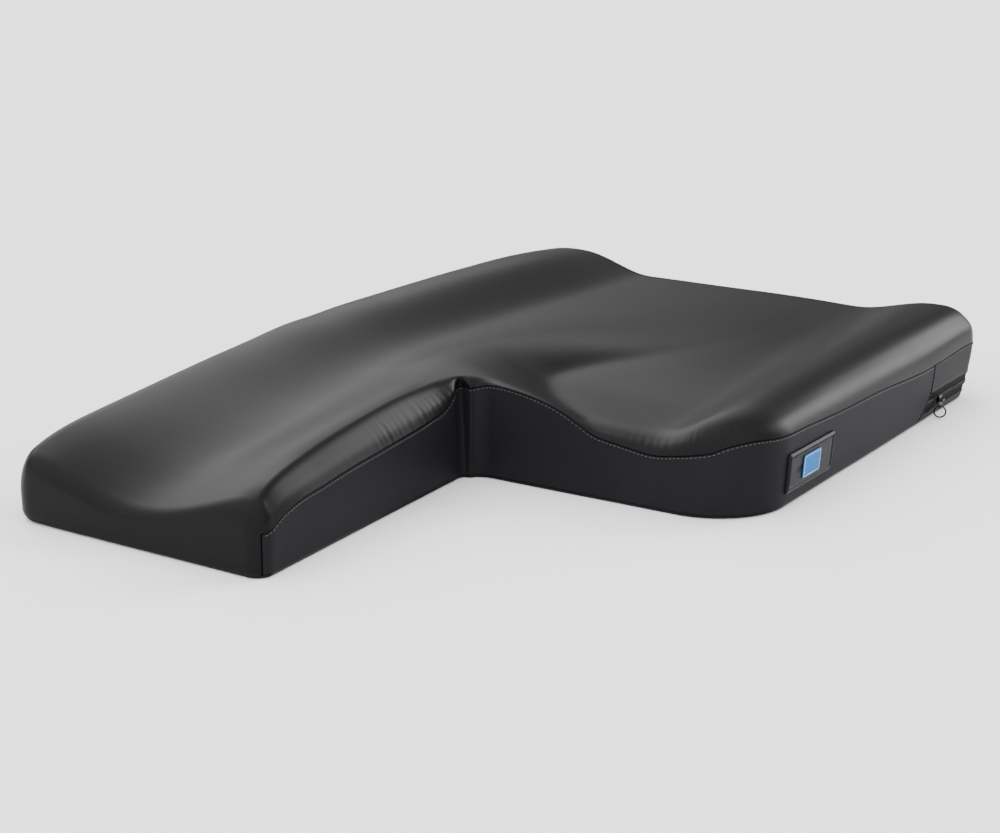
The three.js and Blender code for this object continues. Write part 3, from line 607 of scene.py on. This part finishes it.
def sewn_strip(name, start, end, low, high, material, ridges, rows, outer=0.0, **options):
    """A closed strip of cloth on the wall between two distances round the plan, from a height up to another one or
    to one that is worked out from the places. ridges are those of its lower, upper and end edges. Its end at the
    zip's right end leans with the seam there. Returns it, its flat size and its area."""
    first, last = start + STRIP_MARGIN, end - STRIP_MARGIN
    crease = spaced(CREASE_COLUMNS)
    crease = crease[(crease > first) & (crease < last)]
    middle = spaced((first, last, STRIP_STEP))
    lengths = np.unique(np.concatenate([start + EDGE_STEPS, middle, end - EDGE_STEPS, crease]))
    places = Places(lengths)
    bottom = np.full(lengths.shape, low)
    top = high(places) if callable(high) else np.full(lengths.shape, high)
    ends = np.minimum(lengths - start, end - lengths)
    near_seam = 1 - smooth(np.abs(lengths - RIGHT_END) / LEAN_RUN)
    heights = [bottom + d for d in EDGE_STEPS]
    heights += [bottom + EDGE_STEPS[-1] + (top - bottom - 2 * EDGE_STEPS[-1]) * part
                for part in np.linspace(0, 1, rows + 2)[1:-1]]
    heights += [top - d for d in EDGE_STEPS[::-1]]
    levels = []
    for z in heights:
        ridge = turned_edge(z - bottom, ridges[0]) + turned_edge(top - z, ridges[1]) + turned_edge(ends, ridges[2])
        levels.append((z, outer + ridge))
    levels += [(bottom + (top - bottom) * part, -PANEL_THICKNESS) for part in (1, 0.5, 0)]
    loops = np.stack([Places(lengths - zip_lean(z) * near_seam).wall(z, out) for z, out in levels])
    around, count = loops.shape[:2]
    points = loops.transpose(1, 0, 2).reshape(-1, 3)
    walk = walked(loops[around // 2])
    uv = np.stack(np.broadcast_arrays(walk[:, None], loops[:, :, 2].T), axis=-1).reshape(-1, 2)
    piece = new_piece(name, points, tube_faces(count, around), material, uv=uv, **options)
    area = np.sum(np.diff(walk) * (top - bottom)[1:])
    return piece, (max(LEAST_FLAT, (top - bottom).max()) * MM, walk[-1] * MM), area * MM * MM


def principled(name, color, roughness, **values):
    """A new material and its Principled node, with values set on its sockets."""
    material = bpy.data.materials.new(name)
    material.use_nodes = True
    shader = material.node_tree.nodes["Principled BSDF"]
    shader.inputs["Base Color"].default_value = (*color, 1)
    shader.inputs["Roughness"].default_value = roughness
    for socket, value in values.items():
        shader.inputs[socket.replace("_", " ")].default_value = value
    return material, shader


def tinted(tree, value, shader, color, low, high, places=(0.0, 1.0)):
    """Runs a shader's colour between two multiples of it as a value goes between two places from 0 to 1."""
    tint = tree.nodes.new("ShaderNodeValToRGB")
    for element, place, tone in zip(tint.color_ramp.elements, places, (low, high)):
        element.position = place
        element.color = (*(tone * c for c in color), 1)
    tree.links.new(value, tint.inputs["Fac"])
    tree.links.new(tint.outputs["Color"], shader.inputs["Base Color"])


def bumped(tree, value, shader, strength, depth):
    """Gives a shader a relief from a value, to a depth in metres."""
    relief = tree.nodes.new("ShaderNodeBump")
    relief.inputs["Strength"].default_value = strength
    relief.inputs["Distance"].default_value = depth
    tree.links.new(value, relief.inputs["Height"])
    tree.links.new(relief.outputs["Normal"], shader.inputs["Normal"])


def mapped(tree, value, low, high, from_low, from_high, kind="LINEAR"):
    """A node output that goes from one number to another as a value goes between two numbers."""
    node = tree.nodes.new("ShaderNodeMapRange")
    node.interpolation_type = kind
    node.inputs["From Min"].default_value, node.inputs["From Max"].default_value = from_low, from_high
    node.inputs["To Min"].default_value, node.inputs["To Max"].default_value = low, high
    tree.links.new(value, node.inputs["Value"])
    return node.outputs["Result"]


def noise(tree, place, scale, detail):
    """A noise node over a place."""
    node = tree.nodes.new("ShaderNodeTexNoise")
    node.inputs["Scale"].default_value = scale
    node.inputs["Detail"].default_value = detail
    tree.links.new(place, node.inputs["Vector"])
    return node


# Coated cloth: the scale and detail of its mottling, between what values of it tone and shine change, and to what.
# Then the scale and detail of its grain, the grain's strength and its depth in metres.
MOTTLE = (11, 5)
MOTTLE_RANGE = (0.3, 0.7)
MOTTLE_TONES = (0.88, 1.12)
MOTTLE_SHINE = 0.025
GRAIN = (1500, 2)
GRAIN_STRENGTH = 0.1
GRAIN_DEPTH = 0.0002


def coated_cloth(name, color, roughness, specular, seed=0.0):
    """Satin coated stretch cloth: a dark ground with faint mottling of its tone and shine, and a fine grain."""
    material, shader = principled(name, color, roughness, Specular_IOR_Level=specular)
    tree = material.node_tree
    place = tree.nodes.new("ShaderNodeTexCoord").outputs["Object"]
    mottle = noise(tree, place, *MOTTLE)
    mottle.noise_dimensions = "4D"
    mottle.inputs["W"].default_value = seed
    tinted(tree, mottle.outputs["Fac"], shader, color, *MOTTLE_TONES, places=MOTTLE_RANGE)
    shine = mapped(tree, mottle.outputs["Fac"], roughness - MOTTLE_SHINE, roughness + MOTTLE_SHINE, *MOTTLE_RANGE)
    tree.links.new(shine, shader.inputs["Roughness"])
    bumped(tree, noise(tree, place, *GRAIN).outputs["Fac"], shader, GRAIN_STRENGTH, GRAIN_DEPTH)
    return material


# Woven tape: its roughness, how uneven its ribs are, the tones of its gaps and ribs, with painted shade that darkens
# the gaps, its relief's strength, and how wide one band of a wave node is at scale 1
WEAVE_ROUGHNESS = 0.75
WEAVE_DISTORTION = 0.4
WEAVE_DETAIL = 1
WEAVE_GAP_SHADE_TONES = (0.55, 1.15)
WEAVE_STRENGTH = 0.6
BAND_AT_ONE = math.pi / 10


def woven(name, color, across, along, depth, specular):
    """Woven tape: ribs across and along the piece's own UV, a pitch in millimetres apart, with painted shade in the
    gaps.
    """
    material, shader = principled(name, color, WEAVE_ROUGHNESS, Specular_IOR_Level=specular)
    tree = material.node_tree
    place = tree.nodes.new("ShaderNodeUVMap")
    place.uv_map = "cloth"
    both = tree.nodes.new("ShaderNodeMath")
    both.operation = "MULTIPLY"
    for k, (direction, pitch) in enumerate((("X", across), ("Y", along))):
        rib = tree.nodes.new("ShaderNodeTexWave")
        rib.wave_type = "BANDS"
        rib.bands_direction = direction
        rib.inputs["Scale"].default_value = BAND_AT_ONE / pitch
        rib.inputs["Distortion"].default_value = WEAVE_DISTORTION
        rib.inputs["Detail"].default_value = WEAVE_DETAIL
        tree.links.new(place.outputs["UV"], rib.inputs["Vector"])
        tree.links.new(rib.outputs["Fac"], both.inputs[k])
    # The weave's tone is painted shade: darker in the gaps between ribs and lighter on the ribs, following the relief
    tinted(tree, both.outputs["Value"], shader, color, *WEAVE_GAP_SHADE_TONES)
    bumped(tree, both.outputs["Value"], shader, WEAVE_STRENGTH, depth)
    return material


LEAST_RADIUS = 0.02


def rounded_ring(spec, inset, per_side, per_corner):
    """Points anticlockwise round a rounded rectangle about its middle, inset from its edge, with corners that aren't
    sharper than LEAST_RADIUS."""
    w, h = (spec["to"] - spec["from"]) / 2 - inset, (spec["high"] - spec["low"]) / 2 - inset
    r = min(max(spec["radius"] - inset, LEAST_RADIUS), w, h)
    centres = [(w - r, h - r), (r - w, h - r), (r - w, r - h), (w - r, r - h)]
    quarter = np.linspace(0, math.pi / 2, per_corner)
    arcs = [np.stack([x + r * np.cos(quarter + k * math.pi / 2), y + r * np.sin(quarter + k * math.pi / 2)], axis=1)
            for k, (x, y) in enumerate(centres)]
    t = np.linspace(0, 1, per_side + 2)[1:-1, None]
    parts = []
    for arc, following in zip(arcs, arcs[1:] + arcs[:1]):
        parts += [arc, arc[-1] + (following[0] - arc[-1]) * t]
    return np.vstack(parts)


def on_right_wall(spec, x, y):
    """Places and heights on the right wall of points about a rectangle's middle. Its from and to are measured back
    from the arm's front."""
    along = SIDE_STARTS[RIGHT] + spec["from"] - ARM_LENGTH + (spec["to"] - spec["from"]) / 2 + x
    return Places(along), (spec["low"] + spec["high"]) / 2 + y


def wall_pad(name, spec, profile, material, relief=lambda inset, ring: 0.0, **options):
    """A rounded rectangle on the right wall, from a profile of (inset, out) pairs that goes from its back round its
    edge to its middle, and a relief added to it."""
    rings, uvs = [], []
    for inset, out in profile:
        ring = rounded_ring(spec, inset, per_side=20, per_corner=5)
        places, up = on_right_wall(spec, *ring.T)
        rings.append(places.wall(up, out + relief(inset, ring)))
        uvs.append(ring)
    return new_piece(name, np.vstack(rings), tube_faces(len(rings), len(uvs[0])), material, uv=np.vstack(uvs),
                     **options)


def edge_profile(inner, outer, radius, insets):
    """(inset, out) pairs of a pad from its back at inner, with rings 3 and 0.3 mm in from its edge, round its
    rounded edge to its face at outer."""
    back = [(3.0, inner), (0.3, inner), (0.0, inner + 0.1)]
    round_over = [(radius * (1 - math.cos(angle)), outer - radius * (1 - math.sin(angle)))
                  for angle in np.linspace(0, math.pi / 2, 5)]
    return back + round_over + [(inset, outer) for inset in insets]


# A thread's rings: where along it, as parts of its length, and their radii as shares of its own
CAPSULE_PARTS = np.array([-0.5, -0.42, -0.25, 0.0, 0.25, 0.42, 0.5])
CAPSULE_RADII = np.array([0.15, 0.62, 0.95, 1.0, 0.95, 0.62, 0.15])
CAPSULE_SIDES = 6


def capsules(points, directions, normals, length, radius):
    """Small threads: for each point a capsule along its direction, with its sides laid out from its normal."""
    angle = np.arange(CAPSULE_SIDES) * 2 * math.pi / CAPSULE_SIDES
    across = np.cross(normals, directions)
    ring = across[:, None] * np.cos(angle)[None, :, None] + normals[:, None] * np.sin(angle)[None, :, None]
    centre = points[:, None] + directions[:, None] * (CAPSULE_PARTS * length)[None, :, None]
    vertices = centre[:, :, None] + ring[:, None] * (radius * CAPSULE_RADII)[None, :, None, None]
    one, count = tube_faces(len(CAPSULE_PARTS), CAPSULE_SIDES), len(CAPSULE_PARTS) * CAPSULE_SIDES
    return vertices.reshape(-1, 3), [[k * count + v for v in face] for k in range(len(points)) for face in one]


def joined_mesh(parts):
    """Points and faces of several meshes put together."""
    points, faces, start = [], [], 0
    for part_points, part_faces in parts:
        points.append(part_points)
        faces += [[v + start for v in face] for face in part_faces]
        start += len(part_points)
    return np.vstack(points), faces


def run_of(line):
    """Unit directions along a line of points."""
    run = np.gradient(line, axis=0)
    return run / np.linalg.norm(run, axis=1, keepdims=True)


def out_of(places):
    """The outward directions at places, level, in three parts."""
    return np.column_stack([places.out, np.zeros(len(places.out))])


def stitches_along(places, z, out):
    """Threads along the wall at a height, one at each place, lying the way that the line through them runs."""
    line = places.wall(z, out)
    run, normal = run_of(line), out_of(places)
    normal -= run * (normal * run).sum(axis=1, keepdims=True)
    normal /= np.linalg.norm(normal, axis=1, keepdims=True)
    return capsules(line, run, normal, STITCH_LENGTH, THREAD_RADIUS)


# Ends of the panels and the zip's band round the plan, and how far from the zip's middle its pieces' edges are
RIGHT_START = SIDE_STARTS[ARM_RIGHT] + CORNER_SEAM * SIDE_LENGTHS[ARM_RIGHT] / ARM_LENGTH + CLEARANCE
RIGHT_END = SIDE_STARTS[RIGHT] + SIDE_PANEL_END - ARM_LENGTH
LEFT_START = SIDE_STARTS[LEFT] + LENGTH - SIDE_PANEL_END
LEFT_END = SIDE_STARTS[-1] - CORNER_SEAM - CLEARANCE
BAND_START, BAND_END = RIGHT_END + SEAM_GAP, LEFT_START - SEAM_GAP
HALF_COIL = COIL_WIDTH / 2
TAPE_IN = HALF_COIL + CLEARANCE
TAPE_OUT = TAPE_IN + TAPE_WIDTH
COVER_EDGE = TAPE_OUT + CLEARANCE


def under_seam(places):
    """Height of a panel's upper edge: just under the seam."""
    return places.seam - PANEL_DROP


def side_panels(material, on_right):
    """The sewn side panels, each a sheet stretched on the wall, with its cut size taken along the middle of its
    height. on_right, the pieces sewn on the right one, is not used."""
    for name, start, end, extra in (("boxing_right", RIGHT_START, RIGHT_END, on_right),
                                    ("boxing_left", LEFT_START, LEFT_END, [])):
        piece, flat, area = sewn_strip(name + "_cloth", start, end, PANEL_LOW, under_seam, material, (0, 0.12, 0.25),
                                       rows=14, slot="side_panel", replaces=[name])


def zip_band(cover_material, tape_material, coil_material):
    """The back band: cover above and below the zip, its two tapes, and the coil's two rows of turns."""
    upper = sewn_strip("rear_upper_cloth", BAND_START, BAND_END, ZIP_MIDDLE + COVER_EDGE, under_seam, cover_material,
                       (0.55, 0.5, 0.35), rows=8, slot="side_panel", replaces=["rear_boxing_upper"])
    lower = sewn_strip("rear_lower_cloth", BAND_START, BAND_END, PANEL_LOW, ZIP_MIDDLE - COVER_EDGE, cover_material,
                       (0, 0.4, 0.3), rows=2, slot="side_panel", replaces=["rear_boxing_lower"])
    tapes = [sewn_strip("zip_tape_" + name + "_woven", BAND_START, BAND_END, ZIP_MIDDLE + low, ZIP_MIDDLE + high,
                        tape_material, (0.12, 0.12, 0), rows=1, outer=-TAPE_SUNK, slot="zip_tape",
                        replaces=["zip_tape_" + name])[0]
             for name, low, high in (("upper", TAPE_IN, TAPE_OUT), ("lower", -TAPE_OUT, -TAPE_IN))]
    coil = zip_coil(coil_material)


def even_lengths(start, end, pitch):
    """Distances round the plan that are a pitch apart on the rounded outline, as measured every quarter of a
    millimetre."""
    fine = np.arange(start, end, 0.25)
    walk = walked(Places(fine).point)
    return np.interp(np.arange(pitch / 2, walk[-1], pitch), walk, fine)


# The coil's turns: how far the rows stop short of its ends, a turn's length and its middle as shares of half the
# coil's width, its radius and how deep it sits. Then the core under them: how proud it is, its step, and its end.
TURNS_END = 0.6
TURN_LENGTH = 1.1
TURN_MIDDLE = 0.55
TURN_RADIUS = 0.46
TURN_SUNK = 0.52
CORE_PROUD = 0.1
CORE_STEP = 4.0
CORE_END = 0.1


def zip_coil(material):
    """The closed coil: a flat core on the tapes and two rows of small rounded turns that mesh along the middle."""
    start = BAND_START - zip_lean(ZIP_MIDDLE)
    lengths = even_lengths(start + TURNS_END, BAND_END - TURNS_END, TOOTH_PITCH)
    rows = []
    for shift, middle in ((0.0, TURN_MIDDLE), (0.5, -TURN_MIDDLE)):
        places = Places(lengths[:-1] + shift * TOOTH_PITCH)
        centre = places.wall(ZIP_MIDDLE + middle * HALF_COIL, COIL_PROUD - TURN_SUNK)
        upright = np.tile([0.0, 0.0, 1.0], (len(centre), 1))
        rows.append(capsules(centre, upright, out_of(places), TURN_LENGTH * HALF_COIL, TURN_RADIUS))
    core_lengths = spaced((start, BAND_END - CORE_END, CORE_STEP))
    core = Places(core_lengths)
    corners = ((-1, -PANEL_THICKNESS), (-1, CORE_PROUD), (1, CORE_PROUD), (1, -PANEL_THICKNESS))
    loops = np.stack([core.wall(ZIP_MIDDLE + side * HALF_COIL, out) for side, out in corners])
    rows.append((loops.transpose(1, 0, 2).reshape(-1, 3), tube_faces(len(core_lengths), 4)))
    return new_piece("zip_coil_turns", *joined_mesh(rows), material, slot="zip_coil", replaces=["zip_coil"])


# Stitching: how far it is below a panel's edge, above the zip and in from a vertical seam, how proud it is on the top
# seam and elsewhere, and how far it stays from the ends of a run, from the zip and from the top seam
STITCH_DROP = 1.3
STITCH_ABOVE_ZIP = 2.7
STITCH_IN = 2.6
TOP_PROUD = 0.05
STITCH_PROUD = 0.02
STITCH_MARGIN = 2.0
ZIP_MARGIN = 3.0
TOP_MARGIN = 3.5


def seam_threads(material):
    """The stitching along the top seam of each panel and beside the vertical seams and the zip."""
    runs = []
    for start, end in ((RIGHT_START, RIGHT_END), (BAND_START, BAND_END), (LEFT_START, LEFT_END)):
        places = Places(even_lengths(start + STITCH_MARGIN, end - STITCH_MARGIN, STITCH_PITCH))
        runs.append(stitches_along(places, under_seam(places) - STITCH_DROP, TOP_PROUD))
    places = Places(even_lengths(BAND_START + STITCH_MARGIN, BAND_END - STITCH_MARGIN, STITCH_PITCH))
    runs.append(stitches_along(places, ZIP_MIDDLE + COVER_EDGE + STITCH_ABOVE_ZIP, STITCH_PROUD))
    for length in (RIGHT_END - STITCH_IN, LEFT_START + STITCH_IN):
        runs.append(upright_stitches(length, PANEL_LOW + STITCH_MARGIN))
    for length in (BAND_START + STITCH_IN, BAND_END - STITCH_IN):
        runs.append(upright_stitches(length, ZIP_MIDDLE + COVER_EDGE + ZIP_MARGIN))
    new_piece("seam_threads", *joined_mesh(runs), material, slot="side_panel")


def upright_stitches(length, low):
    """Threads up the wall beside a vertical seam."""
    seam = Places(np.array([length])).seam[0]
    z = np.arange(low, seam - TOP_MARGIN, STITCH_PITCH)
    at_zip = abs(length - RIGHT_END) < LEAN_RUN
    places = Places(length - at_zip * zip_lean(z))
    line = places.wall(z, STITCH_PROUD)
    return capsules(line, run_of(line), out_of(places), STITCH_LENGTH, THREAD_RADIUS)


# Threads round the patch and the tab: their length as a share of the pitch, and their radius
ROUND_SHARE = 0.66
ROUND_RADIUS = 0.3


def sewn_round(spec, face, inset, proud, pitch):
    """Threads round a rounded rectangle on the right wall, about a pitch apart, inset from its edge."""
    ring = rounded_ring(spec, inset, per_side=60, per_corner=6)
    ring = np.vstack([ring, ring[:1]])
    walk = walked(ring)
    count = round(walk[-1] / pitch)
    at = (np.arange(count + 2) - 0.5) * walk[-1] / count % walk[-1]
    places, up = on_right_wall(spec, *(np.interp(at, walk, ring[:, k]) for k in (0, 1)))
    line = places.wall(up, face + proud)
    return capsules(line[1:-1], run_of(line)[1:-1], out_of(places)[1:-1], ROUND_SHARE * pitch, ROUND_RADIUS)


# The patch's rolled border: where it starts and has its middle in from the edge, its width, its height's share along
# the low edges, and over what distance it passes from high to low. Then the groove of its stitching.
BORDER_START = 0.8
BORDER_PLACE = 1.9
BORDER_WIDTH = 0.9
BORDER_LEAST = 0.3
BORDER_BLEND = 8.0
GROOVE_DEPTH = 0.5
GROOVE_PLACE = 4.2
GROOVE_WIDTH = 0.6


def patch_border(inset, ring):
    """The patch's rolled border, high along its top and front edges and low along the others, and the groove that
    its stitching draws in beside it."""
    if inset < BORDER_START:
        return 0.0
    half = np.array([PATCH["to"] - PATCH["from"], PATCH["high"] - PATCH["low"]]) / 2
    (to_end, to_top), (to_front, to_foot) = (half - ring).T, (half + ring).T
    high = smooth(0.5 + (np.minimum(to_end, to_foot) - np.minimum(to_front, to_top)) / BORDER_BLEND)
    border = BORDER_RISE * (BORDER_LEAST + (1 - BORDER_LEAST) * high) * bell((inset - BORDER_PLACE) / BORDER_WIDTH)
    return border - GROOVE_DEPTH * bell((inset - GROOVE_PLACE) / GROOVE_WIDTH)


# Rings of the patch's and the tab's faces, in from their edges, and the radii of those edges
PATCH_INSETS = (0.8, 1.1, 1.4, 1.7, 2.0, 2.3, 2.6, 2.9, 3.2, 3.5, 3.8, 4.1, 4.4, 4.8, 5.4, 8, 12, 15.8)
TAB_INSETS = (0.4, 0.8, 1.2, 1.7, 3, 5, 8.6)
PATCH_EDGE, TAB_EDGE = 0.5, 0.3

# Their stitching: how far in from the edge it runs, how far above the face, and its pitch
PATCH_STITCHES = (4.3, -0.35, 2.6)
TAB_STITCHES = (1.3, 0.02, 1.5)


def patch_and_tab(patch_material, tab_material, thread_material, tab_thread_material):
    """The patch with its raised rolled border, its stitching inside the border, and the plain woven tab on it."""
    face = CLEARANCE + PATCH_THICKNESS
    tab_back = face + CLEARANCE
    tab_face = tab_back + LABEL_THICKNESS
    profile = edge_profile(CLEARANCE, face, PATCH_EDGE, PATCH_INSETS)
    patch = wall_pad("label_patch_moulded", PATCH, profile, patch_material, relief=patch_border, slot="label_patch",
                     replaces=["label_patch"])
    profile = edge_profile(tab_back, tab_face, TAB_EDGE, TAB_INSETS)
    tab = wall_pad("label_tab_woven", LABEL, profile, tab_material, slot="label_tab", replaces=["label_tab"])
    black = new_piece("patch_threads", *sewn_round(PATCH, face, *PATCH_STITCHES), thread_material, slot="label_patch")
    pale = new_piece("tab_threads", *sewn_round(LABEL, tab_face, *TAB_STITCHES), tab_thread_material, slot="label_tab")
    return [patch, tab, black, pale]


# Camera at the photo's angle: its place in the pattern's frame, and its lens from an image 1000 pixels wide
IMAGE_WIDTH = 1000
FOCAL_PIXELS = 1959.9
SENSOR = 36.0
CAMERA_PLACE = (1049.0, -949.0, 466.0)
CAMERA_AZIMUTH = 33.489
CAMERA_ELEVATION = 15.672


def add_camera():
    """A perspective camera that looks along its azimuth, from +Y towards -X, and down by its elevation."""
    data = bpy.data.cameras.new("camera")
    data.sensor_fit = "HORIZONTAL"
    data.sensor_width = SENSOR
    data.lens = SENSOR * FOCAL_PIXELS / IMAGE_WIDTH
    camera = bpy.data.objects.new("camera", data)
    azimuth, elevation = math.radians(CAMERA_AZIMUTH), math.radians(CAMERA_ELEVATION)
    turn = Matrix.Rotation(azimuth, 4, "Z") @ Matrix.Rotation(math.pi / 2 - elevation, 4, "X")
    camera.matrix_world = Matrix.Translation(to_frame(CAMERA_PLACE)) @ turn
    bpy.context.scene.collection.objects.link(camera)
    bpy.context.scene.camera = camera


# The studio's surround, as multiples of white: its strengths low down and high up, and the sines of the elevations
# between which it changes. Its soft lights: direction, strength, and the cosines of the angles from the direction
# where the light has faded out and where it is full.
SURROUND_STRENGTHS = (0.15, 0.85)
SURROUND_HEIGHTS = (0.28, 0.55)
SOFT_LIGHTS = {
    "front": ((0.12, -0.88, 0.46), 2.4, 0.0, 0.6),
    "left": ((-0.686, 0.429, 0.588), 3.1, 0.82, 0.97),
    "right": ((0.42, 0.82, 0.39), 12.0, 0.93, 0.985),
}

# The floor, with its size in metres
FLOOR_SIZE = 16
FLOOR_WHITE = 0.9
FLOOR_ROUGHNESS = 0.75


def studio():
    """A pale floor and a surround that is graded by height, with a broad soft light in front of the object and two
    smaller ones behind it, one to each side."""
    floor_material, _ = principled("floor_paint", (FLOOR_WHITE,) * 3, FLOOR_ROUGHNESS, Specular_IOR_Level=0.2)
    bpy.ops.mesh.primitive_plane_add(size=FLOOR_SIZE)
    floor = bpy.context.object
    floor.name = "floor"
    floor.data.materials.append(floor_material)
    world = bpy.data.worlds.new("studio")
    world.use_nodes = True
    tree = world.node_tree
    place = tree.nodes.new("ShaderNodeTexCoord").outputs["Generated"]
    split = tree.nodes.new("ShaderNodeSeparateXYZ")
    tree.links.new(place, split.inputs["Vector"])
    strength = mapped(tree, split.outputs["Z"], *SURROUND_STRENGTHS, *SURROUND_HEIGHTS, kind="SMOOTHSTEP")
    for direction, power, fades, full in SOFT_LIGHTS.values():
        facing = tree.nodes.new("ShaderNodeVectorMath")
        facing.operation = "DOT_PRODUCT"
        facing.inputs[1].default_value = direction
        tree.links.new(place, facing.inputs[0])
        both = tree.nodes.new("ShaderNodeMath")
        both.operation = "ADD"
        tree.links.new(strength, both.inputs[0])
        light = mapped(tree, facing.outputs["Value"], 0.0, power, fades, full, kind="SMOOTHSTEP")
        tree.links.new(light, both.inputs[1])
        strength = both.outputs["Value"]
    tree.nodes["Background"].inputs["Color"].default_value = (1, 1, 1, 1)
    tree.links.new(strength, tree.nodes["Background"].inputs["Strength"])
    bpy.context.scene.world = world


cover_cloth = coated_cloth("cover_cloth", (0.0038, 0.0038, 0.0043), 0.38, 0.08)
panel_cloth = coated_cloth("panel_cloth", (0.0095, 0.0095, 0.0112), 0.46, 0.04, seed=3.0)
zip_tape_cloth = woven("zip_tape_cloth", (0.005, 0.005, 0.0055), 0.9, 1.1, 0.0003, 0.08)
coil_nylon, _ = principled("coil_nylon", (0.006, 0.006, 0.0065), 0.4, Specular_IOR_Level=0.2)
seam_thread, _ = principled("seam_thread", (0.035, 0.035, 0.037), 0.5)
black_thread, _ = principled("black_thread", (0.006, 0.006, 0.007), 0.6)
patch_rubber, _ = principled("patch_rubber", (0.007, 0.007, 0.0084), 0.40, Specular_IOR_Level=0.09)
blue_weave = woven("blue_weave", (0.04, 0.21, 0.58), 0.9, 0.7, 0.0004, 0.1)
pale_thread, _ = principled("pale_thread", (0.62, 0.60, 0.55), 0.6)
black_metal, _ = principled("black_metal", (0.018, 0.018, 0.02), 0.32, Metallic=1.0)

add_camera()
studio()
cushion_cover(cover_cloth)
side_panels(panel_cloth, patch_and_tab(patch_rubber, blue_weave, black_thread, pale_thread))
zip_band(panel_cloth, zip_tape_cloth, coil_nylon)
seam_threads(seam_thread)
for name in ("zip_slider", "zip_pull_tab", "zip_pull_ring"):
    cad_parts[name].data.materials.clear()
    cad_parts[name].data.materials.append(black_metal)
